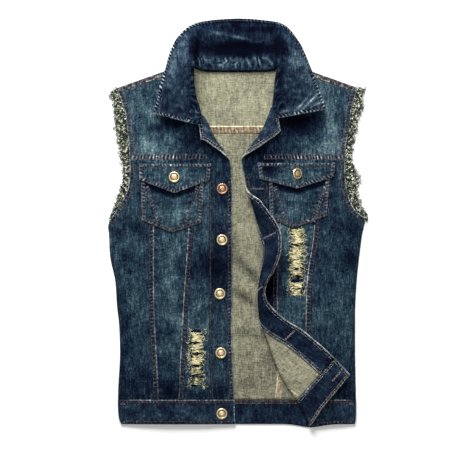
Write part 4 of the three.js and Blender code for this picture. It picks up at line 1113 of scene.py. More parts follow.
def patch_piece(front, node, shape, lift, tone, columns, lines, pillow, shading_flap=None):
    """A patch with a straight top and a pointed foot: each column runs from the foot up to the top edge. A
    shading flap, if given, paints its shadow on the patch below its foot.
    """
    s, t = np.linspace(0, 1, columns)[None, :], np.linspace(0, 1, lines)[:, None]
    foot_x, foot_y = (
        np.interp(s, (0, 0.5, 1), [shape[f"{end}_{axis}"] for end in ("in", "tip", "out")]) for axis in "xy"
    )
    top_x = shape["top_in"] + (shape["top_out"] - shape["top_in"]) * s
    x, y = foot_x + (top_x - foot_x) * t, foot_y + (shape["top"] - foot_y) * t
    base, normal = place(front, x, y), outward(front, x, y)
    swell = pillow * (np.sin(np.pi * s) * np.sin(np.pi * t)) ** 0.6 + 0.22 * MM * patchy(x, y, 8 * MM, 31)
    height = (relief(front, x, y) + swell)[..., None]
    wide, tall = shape["top_out"] - shape["top_in"], shape["top"] - shape["tip_y"]
    edge = np.minimum(np.minimum(s, 1 - s) * wide, t * tall)
    wash = front_wash(front, x, y, tone) + 0.05 * patchy(x, y, 12 * MM, 32)
    wash = wash + 0.12 * np.exp(-((edge / (1.2 * MM)) ** 2))
    wash = wash + 0.10 * np.exp(-(((s - 0.5) / 0.22) ** 2) - (((t - 0.3) / 0.3) ** 2))
    if shading_flap is not None:
        cover_x, cover_y = ([shading_flap[f"{end}_{axis}"] for end in ("in", "tip", "out")] for axis in "xy")
        flap_shadow_foot = np.interp(x, cover_x, cover_y)
        # Painted shadow of the flap over less faded cloth: the pocket darkens from 13 mm below the flap's
        # foot and is darkest from 5 mm below it upward.
        wash = wash - 0.5 * smooth((y - flap_shadow_foot + 13 * MM) / (8 * MM))
    outer, inner = base + normal * (lift + height), base + normal * (lift - CLOTH + height)
    sides = wall(outer, inner, cut_of(front["sign"] * x, y), wash, 0.5 + 0 * x)
    piece = shell(f"{node}_cloth", [sides], (denim, inside))
    declare(piece, x, y, node, "denim")


for k, front in enumerate((RIGHT, LEFT)):
    name = front["name"]
    pocket, flap = (
        {column: table[column][k] for column in PATCH_COLUMNS.split()} for table in (POCKETS, FLAPS)
    )
    patch_piece(front, f"pocket_{name}", pocket, POCKET_LIFT, 0.42, 60, 54, 0.5 * MM, flap)
    patch_piece(front, f"flap_{name}", flap, FLAP_LIFT, 0.44, 60, 26, 0.3 * MM)
    faces = {"pocket": on_front(front, POCKET_LIFT + 0.2 * MM), "flap": on_front(front, FLAP_LIFT + 0.1 * MM)}
    borders, walls, total = [], [], 0.0
    for kind, shape in (("pocket", pocket), ("flap", flap)):
        ring = np.array([
            (shape["top_in"], shape["top"]), (shape["in_x"], shape["in_y"]), (shape["tip_x"], shape["tip_y"]),
            (shape["out_x"], shape["out_y"]), (shape["top_out"], shape["top"]),
        ])
        rope, ridge = (1.1, 0.36) if kind == "flap" else (0.7, 0.3)
        for a, b in zip(ring[:-1], ring[1:]):
            borders.append((kind, beside_line(np.array([a, b]), 0.6 * MM), 7 * MM, 0.44, rope, ridge, 0.0))
    heart = (pocket["top_in"] + pocket["top_out"]) / 2
    outer_lean = straight(pocket["top_out"] - 6 * MM, 62 * MM, heart + 27 * MM, -2 * MM)
    inner_lean = straight(pocket["top_in"] + 8 * MM, 62 * MM, heart - 26 * MM, -2 * MM)
    flap_y = flap["top"] - 0.5 * MM
    borders.append(("pocket", outer_lean, -8.5 * MM, 0.38, 0.8, 0.1, 0.1))
    borders.append(("pocket", inner_lean, 8.5 * MM, 0.38, 0.8, 0.1, 0.1))
    borders.append(
        ("flap", straight(flap["top_in"], flap_y, flap["top_out"], flap_y), -5 * MM, 0.52, 0.8, 0.1, 0.0)
    )
    for n, (kind, line, width, tone, rope, ridge, far) in enumerate(borders):
        look = {"seed": 90 + n, "sign": front["sign"]}
        made, area = roped_strip(faces[kind], line, width, 0.25 * MM, tone, rope, ridge, far, **look)
        walls.append(made)
        total += area
        side = 1 if width > 0 else -1
        for off in ((1.8, 5.4) if kind == "pocket" else (5.2,)):
            brown.append(stitch_paths(faces[kind], line, side * off * MM, 0.3 * MM))
    seam_piece(f"patch_edges_{name}", walls, total, (seam_denim, denim), "denim", f"pocket_{name}_cloth")

# Insides of the fronts: where a front edge is turned out, the facing's roped edges show, and on the turned
# corner the felled seams too. They are sewn with paler ochre thread.
FACING_DEPTH = 2 * CLOTH + SEAM_GAP
for front in (RIGHT, LEFT):
    name, sign = front["name"], front["sign"]
    facing_face, panel_face = on_front(front, under=FACING_DEPTH), on_front(front, under=CLOTH)
    corner_y, neck_y = front["corner"], float(front["neck"]["y"][0])
    corner_x = across_at(front, edge_at, corner_y)
    lapel_edge = up_front(front, edge_at, EDGE_INSET, 92 * MM, corner_y - 1 * MM)
    neck_x = corner_x + PLACKET_WIDTH - 1 * MM
    lapel_top = straight(corner_x + 1 * MM, corner_y, neck_x, neck_y) - (0, EDGE_INSET)
    blue_lines = [
        (facing_face, lapel_edge, -6 * MM, 0.42, 0.75, pale),
        (facing_face, lapel_top, -6 * MM, 0.42, 0.75, pale),
    ]
    if front is LEFT:
        edge_line = up_front(front, edge_at, EDGE_INSET, SEAM_FOOT, 80 * MM)
        facing_in = up_front(front, edge_at, PLACKET_WIDTH - 0.8 * MM, SEAM_FOOT, 60 * MM)
        end_line = up_front(front, edge_at, EDGE_INSET, HEM_Y + 2 * MM, WAIST_Y - 2 * MM)
        hem_ends = across_at(front, edge_at, HEM_Y) + 1 * MM, across_at(front, crease_at, HEM_Y)
        hem_inside = hem_run(front, *hem_ends, 0.8 * MM, 60)
        waist_inside = level_line(front, edge_at, 1 * MM, crease_at, 0, WAIST_Y) - (0, 0.5 * MM)
        blue_lines += [
            (facing_face, edge_line, -6 * MM, 0.27, 0.85, pale),
            (facing_face, facing_in, 6.5 * MM, 0.42, 0.75, pale),
            (panel_face, end_line, -6 * MM, 0.32, 0.5, pale),
            (panel_face, hem_inside, 6 * MM, 0.40, 0.5, ochre),
            (panel_face, waist_inside, -6 * MM, 0.40, 0.4, pale),
        ]
        seam_inside = up_front(front, inner_seam, -4.5 * MM, WAIST_Y + 2 * MM, -200 * MM)
        look = {"seed": 140, "sign": sign}
        made, area = roped_strip(panel_face, seam_inside, -9 * MM, 0.5 * MM, 0.62, 0.7, 0.2, 0.2, **look)
        said = "denim_inside", "front_centre_left_cloth", "folded"
        seam_piece("inner_fell_left", [made], area, (inside, inside), *said)
        ochre += [stitch_paths(panel_face, seam_inside, -off * MM, 0.5 * MM) for off in (1.6, 4.5, 7.4)]
    walls, total = [], 0.0
    for n, (face, line, width, tone, ridge, thread) in enumerate(blue_lines):
        made, area = roped_strip(face, line, width, 0.3 * MM, tone, 0.7, ridge, seed=120 + n, sign=sign)
        walls.append(made)
        total += area
        side = 1 if width > 0 else -1
        thread += [stitch_paths(face, line, side * off * MM, 0.35 * MM) for off in (1.6, 4.9)]
    said = "dark_denim", f"facing_{name}_cloth", "folded"
    seam_piece(f"facing_edges_{name}", walls, total, (seam_denim, dark_denim), *said)

# Seams of the back, on its inside: the yoke is felled to the back panels with a worn cream edge and two
# pairs of ochre rows, and each princess seam with three. The waistband's upper edge has two rows.
FELL_Y = 155.75 * MM
back_lines = [
    (straight(-150 * MM, FELL_Y, 150 * MM, FELL_Y), 14 * MM, 0.46, 0.45, -0.2, 0.7, (2.6, 4.2, 8.8, 10.4))
]
for seam in (back_seam_left, back_seam_right):
    seam_line = rising(lambda y: seam(y) + 5 * MM, WAIST_Y + 2 * MM, 150 * MM)
    back_lines.append((seam_line, 10 * MM, 0.58, 0.25, 0.4, 0.4, (1.8, 5.0, 8.2)))
walls, total = [], 0.0
for n, (line, width, tone, rope, ridge, far, lanes) in enumerate(back_lines):
    made, area = roped_strip(on_back, line, width, 0.5 * MM, tone, rope, ridge, far, seed=160 + n)
    walls.append(made)
    total += area
    ochre += [stitch_paths(on_back, line, off * MM, 0.5 * MM) for off in lanes]
FELL_TONES = [
    (0.0, (0.025, 0.018, 0.016)),
    (0.3, (0.12, 0.085, 0.055)),
    (0.6, (0.33, 0.27, 0.17)),
    (1.0, (0.74, 0.68, 0.52)),
]
inside_fell = cloth_finish("inside_fell", FELL_TONES, 0.2, 0.3, 0.2, 0.1, -TWILL_TURN)
seam_piece("back_fells", walls, total, (inside_fell, inside), "denim_inside", "back_centre_cloth")
waist_line = straight(-195 * MM, WAIST_Y, 195 * MM, WAIST_Y) - (0, 0.5 * MM)
ochre += [stitch_paths(on_back, waist_line, off * MM, 0.1 * MM) for off in (-1.8, -5.5)]

# Collar: doubled dark denim that leaves the neck seam, rolls over its crest and lies opened out, with its
# points on the fronts. Its edge is turned in and stitched, roped by washing, and its crest is worn. A
# narrow dark tape is sewn over the neck seam, on the yoke's inside.
COLLAR_CLOTH = 3 * MM
RISE_SHARE = 0.38
ROLL_REACH = 26 * MM
COLLAR = rows("seam_x seam_y seam_z crest_x crest_y crest_z edge_x edge_y edge_z", [
    (-68, 171.5, 19.5, -72, 171.5, 20, -147.4, 190.8, 11.5), (-68, 197, 15, -70, 192, 23, -144, 204, 11),
    (-76, 222, 10, -77, 215, 26, -139.6, 217, 11), (-81, 245, 9, -80.5, 242, 29, -135.5, 239, 11),
    (-83, 266, 9, -81, 270, 30, -126, 267, 11.5), (-81, 275, 9, -80, 297, 27, -117.3, 298.4, 10.5),
    (-76, 274, 8, -77, 314, 22, -104, 323.5, 9), (-66, 269, 4, -70, 329, 14, -82, 344.2, 7),
    (-50, 266.8, 3.6, -51, 324, 9, -52, 353, 5), (0, 266.4, 3.6, 0, 322, 8, 0, 356.9, 4),
    (48, 266.8, 3.6, 49, 325, 9, 50.3, 353.3, 5), (64, 269, 4, 68, 331, 14, 82, 344.6, 7),
    (73, 274, 8, 74, 315, 22, 106, 316, 9), (77, 275, 9, 75, 297, 27, 117.2, 293.1, 10.5),
    (77, 266, 9, 73, 270, 30, 128, 266.5, 11.5), (71, 247, 9, 70, 252, 29, 134, 251, 11),
    (67, 225, 10, 68, 223, 26, 143, 228, 11), (65.5, 207, 15, 66.5, 205, 23, 149, 213, 11),
    (69, 188, 19.5, 74, 183, 20, 152.7, 197.8, 11.5),
])
COLLAR["row"] = np.arange(len(COLLAR["seam_x"]), dtype=float)
COLLAR_FOLDS = rows("x y length width turn height", [
    (124, 210, 32, 3.0, 46, 1.9), (110, 206, 26, 2.8, 50, 1.5), (139, 207, 16, 2.4, 28, 1.2),
    (-118, 204, 24, 3.4, -12, 0.7), (-104, 232, 18, 4, 70, 0.7), (-96, 296, 16, 4, 30, 0.8),
    (104, 300, 14, 3.6, -40, 0.8), (96, 270, 22, 5, 80, 0.6), (5, 322, 42, 4, -12, 1.2),
    (-36, 331, 18, 4, 8, 0.8), (0, 305, 54, 7, 0, -1.6), (-120, 250, 16, 3, 80, 0.5),
    (120, 240, 20, 4, 100, 0.5), (40, 342, 20, 3, -4, 0.5), (-20, 345, 24, 3, 3, 0.5),
])
# Faded and dark places of the collar: the pale leaves are faded cloth, the dark band across the back of the
# stand is painted shade over darker unfaded cloth, the dark strips along the inner side of the roll and by
# the neck seams are painted shade, and the pale tops of the right leaf's folds are worn cloth with a painted
# highlight
COLLAR_TONE_AND_SHADE = rows("x y length width turn amount", [
    (-98, 290, 30, 13, 72, 0.17), (-112, 254, 22, 10, 80, 0.12), (-100, 208, 32, 20, 0, -0.04),
    (102, 288, 30, 12, 112, 0.17), (122, 256, 26, 9, 108, 0.08), (100, 215, 30, 20, 20, -0.05),
    (0, 303, 62, 12, 0, -0.6), (0, 283, 70, 8, 0, 0.15), (6, 322, 38, 3.6, -12, 0.30),
    (-38, 330, 20, 4, 8, 0.2), (0, 352, 80, 6, 0, -0.26), (20, 338, 54, 7, -4, -0.2),
    (8, 330, 62, 22, 0, -0.15), (-78, 250, 60, 8, 90, -0.16), (72, 250, 60, 8, 90, -0.16),
    (124, 210, 30, 2.2, 46, 0.42), (110, 206, 26, 2, 50, 0.36), (139, 207, 14, 1.8, 28, 0.32),
    (-74, 310, 26, 9, 74, -0.24), (72, 310, 26, 9, 106, -0.24), (-26, 346, 26, 4, 2, 0.10),
])


def hermite(start, leave, end, reach, t):
    """A cubic from a start to an end with given slopes at both."""
    from_start = start * (1 + 2 * t) * (1 - t) ** 2 + leave * t * (1 - t) ** 2
    return from_start + end * t * t * (3 - 2 * t) + reach * t * t * (t - 1)


def collar_at(run, w):
    """A point of the collar: up from the neck seam to the crest, then out over the roll to its edge."""
    seam, crest, edge = (
        np.stack([along(COLLAR, f"{lane}_{axis}", run, "row") for axis in "xyz"], -1)
        for lane in ("seam", "crest", "edge")
    )
    level = np.array([1.0, 1.0, 0.0])
    out = (edge - crest) * level
    reach = np.linalg.norm(out, axis=-1, keepdims=True)
    roll = out * np.minimum(ROLL_REACH, reach) / reach
    rise = (crest - seam) * np.array([1.0, 1.0, 1.6])
    w = w[..., None]
    up = hermite(seam, rise, crest, roll * 0.7, np.minimum(w / RISE_SHARE, 1))
    over = hermite(crest, roll * 1.4, edge, edge - crest, np.maximum((w - RISE_SHARE) / (1 - RISE_SHARE), 0))
    return np.where(w < RISE_SHARE, up, over)


dense = np.linspace(0, len(COLLAR["row"]) - 1, 900)
middle = collar_at(dense, np.full(dense.shape, 0.85))
walked = np.cumsum(np.pad(np.linalg.norm(np.diff(middle, axis=0), axis=1), (1, 0)))
run = np.interp(np.linspace(0, walked[-1], 400), walked, dense)[None, :]
w = np.linspace(0, 1, 50)[:, None]
run, w = np.broadcast_arrays(run, w)
leaf = collar_at(run, w)
last_row = len(COLLAR["row"]) - 1
nudge_w = 0.004
nudge_run = nudge_w * last_row
safe_run, safe_w = np.clip(run, nudge_run, last_row - nudge_run), np.clip(w, nudge_w, 1 - nudge_w)
round_it = collar_at(safe_run + nudge_run, safe_w) - collar_at(safe_run - nudge_run, safe_w)
outwards = collar_at(safe_run, safe_w + nudge_w) - collar_at(safe_run, safe_w - nudge_w)
normal = np.cross(round_it, outwards)
normal = normal / np.linalg.norm(normal, axis=-1, keepdims=True)
along_edge = np.cumsum(np.pad(np.linalg.norm(np.diff(leaf, axis=1), axis=-1), ((0, 0), (1, 0))), axis=1)
from_seam = np.cumsum(np.pad(np.linalg.norm(np.diff(leaf, axis=0), axis=-1), ((1, 0), (0, 0))), axis=0)
to_edge = from_seam[-1:] - from_seam
to_front = np.minimum(along_edge, along_edge[:, -1:] - along_edge)
near_front = to_front < to_edge
to_border = np.minimum(to_edge, to_front)
border_run = np.where(near_front, from_seam, along_edge)
x, y = leaf[..., 0], leaf[..., 1]
twist = 2.2 * patchy(border_run, to_border * 0.2, 15 * MM, 71)
rope = np.sin(border_run / (0.95 * MM) + twist + to_border / (2.2 * MM))
rope = rope * np.exp(-(((to_border - 3.0 * MM) / (3.0 * MM)) ** 2))
rope = rope * (0.85 + 0.5 * patchy(border_run, to_border, 10 * MM, 72))
row_valley = np.exp(-(((to_border - 6.3 * MM) / (0.8 * MM)) ** 2))
stand = smooth((from_seam - 3 * MM) / (2 * MM)) * smooth((26 * MM - from_seam) / (5 * MM))
pleats = stand * np.sin(along_edge / (1.9 * MM) + 5 * patchy(x, y, 11 * MM, 73))
pleats = pleats * (0.5 + 0.5 * patchy(x, y, 9 * MM, 74))
soft = 0.28 * MM * patchy(x, y, 9 * MM, 75) + 0.12 * MM * patchy(x, y, 4 * MM, 76)
height = 0.65 * MM * rope - 0.25 * MM * row_valley + 0.4 * MM * pleats
height = height + soft + mounds(COLLAR_FOLDS, x, y, "height")
# The collar's table adds its faded places, its painted shade and its painted highlight.
wash = 0.395 + 0.7 * rope - 0.12 * row_valley + 0.42 * pleats + 1.3 * mounds(COLLAR_TONE_AND_SHADE, x, y, "amount")
wash = wash + 0.08 * patchy(x, y, 14 * MM, 77) + 0.10 * patchy(x, y, 5 * MM, 78)
wash = wash + np.where(near_front, 0.62, 0.25) * np.exp(-((to_border / (1.3 * MM)) ** 2))
border_slope = np.exp(-((to_border / (1.0 * MM)) ** 2))[..., None]
outer = leaf + normal * (COLLAR_CLOTH + height[..., None] - 0.7 * MM * border_slope)
inner = leaf + normal * 0.5 * MM * border_slope
sides = wall(outer, inner, cut_of(x, y), wash, 0.36 + 0 * wash)
collar = shell("collar_cloth", [sides], (dark_denim, dark_denim))
declare(collar, along_edge, from_seam, "collar", "dark_denim")


def on_collar(row_line, w_line, raised):
    """Points just off the collar's upper face, at places of its grid."""
    i, j = w_line * (outer.shape[0] - 1), row_line * (outer.shape[1] - 1)
    i0, j0 = np.clip(i.astype(int), 0, outer.shape[0] - 2), np.clip(j.astype(int), 0, outer.shape[1] - 2)
    a, b = (i - i0)[..., None], (j - j0)[..., None]
    near, far = (1 - a) * (1 - b), (1 - a) * b
    near_out, far_out = a * (1 - b), a * b
    spot, up = (
        grid[i0, j0] * near + grid[i0, j0 + 1] * far + grid[i0 + 1, j0] * near_out
        + grid[i0 + 1, j0 + 1] * far_out
        for grid in (outer, normal)
    )
    return spot + up * raised[..., None]


STITCH_SPOTS = np.array([0, 0.38, 0.76])
STITCH_RISE = MM * np.array([-0.1, 0.3, -0.1])


def collar_stitches(inset, w_from, w_to, front_side):
    """Stitches in a row a set distance inside the collar's edge, up one front edge or round the outer one."""
    if front_side is None:
        off_end = inset / walked[-1]
        places = np.linspace(off_end, 1 - off_end, int(walked[-1] / STITCH_PITCH))[:, None]
        places = places + STITCH_SPOTS[None, :] / len(places)
        places = np.clip(places, 0, 1)
        depth = np.interp(places, np.linspace(0, 1, outer.shape[1]), from_seam[-1])
        return on_collar(places, 1 - inset / depth, STITCH_RISE + 0 * places)
    w_at = np.linspace(w_from, w_to, int(from_seam[-1, 0] * (w_to - w_from) / STITCH_PITCH))[:, None]
    w_at = np.clip(w_at + STITCH_SPOTS[None, :] * (w_to - w_from) / len(w_at), 0, 1)
    place_on = inset / walked[-1] if front_side < 0 else 1 - inset / walked[-1]
    return on_collar(np.full(w_at.shape, place_on), w_at, STITCH_RISE + 0 * w_at)


neck_rows = slice(6, 13)
neck_line = np.stack([COLLAR["seam_x"][neck_rows], COLLAR["seam_y"][neck_rows] - 2.6 * MM], -1)
made, area = roped_strip(on_back, neck_line, 3.2 * MM, 0.6 * MM, 0.1, 0.5, seed=170)
seam_piece("neck_tape", [made], area, (dark_denim, dark_denim), "dark_denim", "back_yoke_cloth")
brown.append(stitch_paths(on_back, neck_line, -0.6 * MM, 0.1 * MM))
brown += [collar_stitches(6.3 * MM, *ends) for ends in ((0, 1, None), (0.4, 0.95, -1), (0.4, 0.95, 1))]

# Buttonholes and bar tacks: a cut with close stitches over both lips, across the left placket and up each
# flap. The inside of the left placket shows them, in pale thread that was worn at the ends.
BUTTON_PLACES = rows("x y", [(27.2, 59.7), (27.4, -29.6), (31.4, -123.6), (29.5, -227), (27.9, -333)])
FLAP_BUTTONS = rows("x y", [(110.7, 80), (103.2, 85.8)])


def buttonhole(surface, start, end):
    """Close stitches over both lips of a cut from start to end."""
    start, end = np.array(start), np.array(end)
    way = (end - start) / np.linalg.norm(end - start)
    across = np.array([-way[1], way[0]])
    count = int(np.linalg.norm(end - start) / (0.6 * MM))
    spots = start + (end - start) * np.linspace(0, 1, count)[:, None]
    reach = np.array([0.1, 0.8, 1.4]) * MM
    lips = [spots[:, None, :] + side * reach[None, :, None] * across for side in (-1, 1)]
    paths = np.concatenate(lips)
    return surface(paths[..., 0], paths[..., 1], MM * np.array([0.0, 0.55, -0.05]) + 0 * paths[..., 0])


hole_paths, plain_holes = [], []
for hole_y in (*BUTTON_PLACES["y"], 150 * MM):
    edge_x = across_at(LEFT, edge_at, hole_y)
    ends = ((edge_x + 9 * MM, hole_y), (edge_x + 31 * MM, hole_y))
    depth = CLOTH if hole_y < WAIST_Y else FACING_DEPTH
    hole_paths.append(buttonhole(on_front(LEFT, under=depth), *ends))
    plain_holes.append(buttonhole(on_front(LEFT), *ends))
for k, front in enumerate((RIGHT, LEFT)):
    x, y = FLAP_BUTTONS["x"][k], FLAP_BUTTONS["y"][k]
    plain_holes.append(buttonhole(on_front(front, FLAP_LIFT), (x, y + 8 * MM), (x, y + 15 * MM)))
for front in (RIGHT, LEFT):
    side_x, tack_y = across_at(front, side_at, -320 * MM), -316 * MM
    plain_holes.append(buttonhole(on_front(front), (side_x - 12 * MM, tack_y), (side_x - 5 * MM, tack_y)))
HOLE_RADIUS = 0.32 * MM
SEWING = [
    ("buttonholes", hole_paths, HOLE_RADIUS, 0.6, 0.4, "purple_thread"),
    ("outer_buttonholes", plain_holes, HOLE_RADIUS, 0.5, 0.3, "purple_thread"),
    ("brown_stitches", brown, STITCH_RADIUS, 0.5, 0.3, "brown_thread"),
    ("ochre_stitches", ochre, STITCH_RADIUS, 0.6, 0.3, "ochre_thread"),
    ("pale_stitches", pale, STITCH_RADIUS, 0.62, 0.4, "pale_thread"),
]
for name, paths, radius, tone, spread, thread in SEWING:
    sewing = threads(np.concatenate(paths), radius, tone, spread)
    sewn(name, [sewing], thread_finishes[thread])

# Tack buttons: pressed metal caps 20 mm wide, riveted through the cloth, with a beaded ring and a plain
# rosette. The metal is pale with dark hollows, and the top one of the placket is a browner copper.
BUTTON_RADIUS = 10 * MM
BUTTON_PROFILE = rows("share rise", [
    (0, 3.0), (0.3, 2.85), (0.46, 2.15), (0.6, 1.9), (0.7, 2.5), (0.8, 2.75), (0.9, 2.45), (1, 1.1),
])
BUTTON_FOOT = 8.2 * MM
BUTTON_GRID = 35
RIM_BEADS = 18
PETALS = 8
FLAP_TILT = np.radians(34)
BUTTON_RIM = 1 * MM
METALS = {
    "pale_brass": [(0.0, (0.04, 0.022, 0.012)), (0.45, (0.40, 0.27, 0.13)), (1.0, (0.88, 0.75, 0.50))],
    "brown_copper": [(0.0, (0.05, 0.02, 0.012)), (0.45, (0.22, 0.10, 0.055)), (1.0, (0.62, 0.40, 0.26))],
}


def metal_finish(name, tones):
    """Worn pressed metal: its hollows are dark, by the wash attribute, and its polish is patchy."""
    material, tree, shader = surface_finish(name, 0.36, **{"Metallic": 0.85})
    tone, noise = patched_tone(tree, 420, 3, 0.4)
    pick_colour(tree, shader, tone, tones)
    rough = add_node(tree, "ShaderNodeMath", {0: noise, 1: 0.35, 2: 0.2}, operation="MULTIPLY_ADD")
    tree.links.new(rough.outputs[0], shader.inputs["Roughness"])
    return material


metals = {name: metal_finish(name, tones) for name, tones in METALS.items()}


def button(node, front, x, y, lift, metal, tilt=0.0):
    """A cap on a square grid bent to a disc: its profile, 18 beads round the rim and eight petals inside.
    One that leans on its shank is raised until its lower rim clears the cloth."""
    u, v = np.meshgrid(*[np.linspace(-1, 1, BUTTON_GRID)] * 2)
    disc_x, disc_y = u * np.sqrt(1 - v * v / 2), v * np.sqrt(1 - u * u / 2)
    share, angle = np.hypot(disc_x, disc_y), np.arctan2(disc_y, disc_x)
    rise = along(BUTTON_PROFILE, "rise", share, "share")
    beads = 0.22 * MM * np.cos(RIM_BEADS * angle) * np.exp(-(((share - 0.8) / 0.07) ** 2))
    petals = 0.26 * MM * np.cos(PETALS * angle) * np.exp(-(((share - 0.3) / 0.12) ** 2))
    petals = petals - 0.3 * MM * np.exp(-((share / 0.1) ** 2))
    rise = rise + beads + petals
    wash = 0.78 - 0.75 * np.exp(-(((share - 0.6) / 0.09) ** 2)) - 0.2 * smooth((share - 0.93) / 0.07)
    wash = wash + 900 * (beads + petals)
    centre, up = place(front, x, y), outward(front, x, y)
    rim_drop = BUTTON_RADIUS * np.sin(tilt) - BUTTON_RIM * np.cos(tilt)
    centre = centre + up * (lift + max(BUTTON_FOOT * np.sin(tilt), rim_drop))
    side = np.cross((0.0, 1.0, 0.0), up)
    side = side / np.linalg.norm(side)
    ahead = np.cross(up, side)
    side, up = side * np.cos(tilt) - up * np.sin(tilt), up * np.cos(tilt) + side * np.sin(tilt)
    flat = (disc_x[..., None] * side + disc_y[..., None] * ahead) * BUTTON_RADIUS
    top = centre + flat + up * rise[..., None]
    foot = centre + flat * 0.86 + up * 0.05 * MM
    sides = wall(top, foot, cut_of(disc_x, disc_y), wash, 0.3 + 0 * wash, finish_in=0)
    piece = shell(f"{node}_cap", [sides], (metals[metal],))
    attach(piece, "root")
    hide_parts(node)


for k, (x, y) in enumerate(zip(BUTTON_PLACES["x"], BUTTON_PLACES["y"])):
    button(f"placket_button_{k + 1}", RIGHT, x, y, LAYER_GAP, "brown_copper" if k == 0 else "pale_brass")
for k, (front, tilt) in enumerate(((RIGHT, 0.0), (LEFT, FLAP_TILT))):
    x, y = FLAP_BUTTONS["x"][k], FLAP_BUTTONS["y"][k]
    button(f"flap_button_{front['name']}", front, x, y, FLAP_LIFT + LAYER_GAP, "pale_brass", tilt)

# Frayed armholes: the raw edges of the front and the back have come apart into curled undyed yarns, matted
# together near the cloth and loose at their tips.
FRAY_TONES = [
    (0.0, (0.008, 0.012, 0.010)), (0.35, (0.085, 0.105, 0.074)), (0.62, (0.35, 0.39, 0.28)),
    (0.85, (0.82, 0.84, 0.68)),
]
FRAY_YARNS = 330
FRAY_LOCKS = 24
FRAY_RADIUS = 0.6 * MM
MAT_ROWS = 140
FRAY_FOOT, FRAY_TOP = 5 * MM, 235 * MM
FRAY_WIDTHS = rows("y right left", [
    (5, 3, 6), (23, 7, 14), (47, 13, 17), (66, 12, 20), (84, 11.7, 20), (97, 13, 16), (111, 14.6, 11.7),
    (140, 17.8, 11.7), (170, 20, 14), (192, 21, 16), (210, 18.5, 16.4), (235, 12, 15),
])
FRAY_REACH = 228 * MM
raw_yarn = yarn_finish("raw_yarn", FRAY_TONES, 4.2, 3.2)


def curls(roots, aims, lengths, stations, curl, pitch, seed, low=0.7 * MM):
    """Loose yarns: each runs from its root along its aim, swings to both sides and up and down, and sinks."""
    chance = np.random.default_rng(seed)
    t = np.linspace(0, 1, stations)[None, :, None]
    side = np.stack([-aims[:, 1], aims[:, 0], 0 * aims[:, 0]], -1)[:, None, :]
    phase = chance.random((len(roots), 1, 1)) * 2 * np.pi
    turns = lengths[:, None, None] / pitch * 2 * np.pi * (0.7 + 0.6 * chance.random((len(roots), 1, 1)))
    swing = curl * t**0.7 * (0.6 + 0.8 * chance.random((len(roots), 1, 1)))
    paths = roots[:, None, :] + aims[:, None, :] * lengths[:, None, None] * t
    paths = paths + side * swing * np.sin(phase + turns * t)
    paths[..., 2] += (
        (swing * 0.6 * np.cos(phase + turns * t))[..., 0] - (roots[:, 2:] - low) * t[..., 0] * 0.4
    )
    paths[..., 2] = np.maximum(paths[..., 2], low)
    return paths


def edge_out(front, y):
    """The armhole edge and the direction straight out of it."""
    slope = (side_at(front, y + 1 * MM) - side_at(front, y - 1 * MM)) / (2 * MM)
    size = np.hypot(1, slope)
    return side_at(front, y), 1 / size, -slope / size


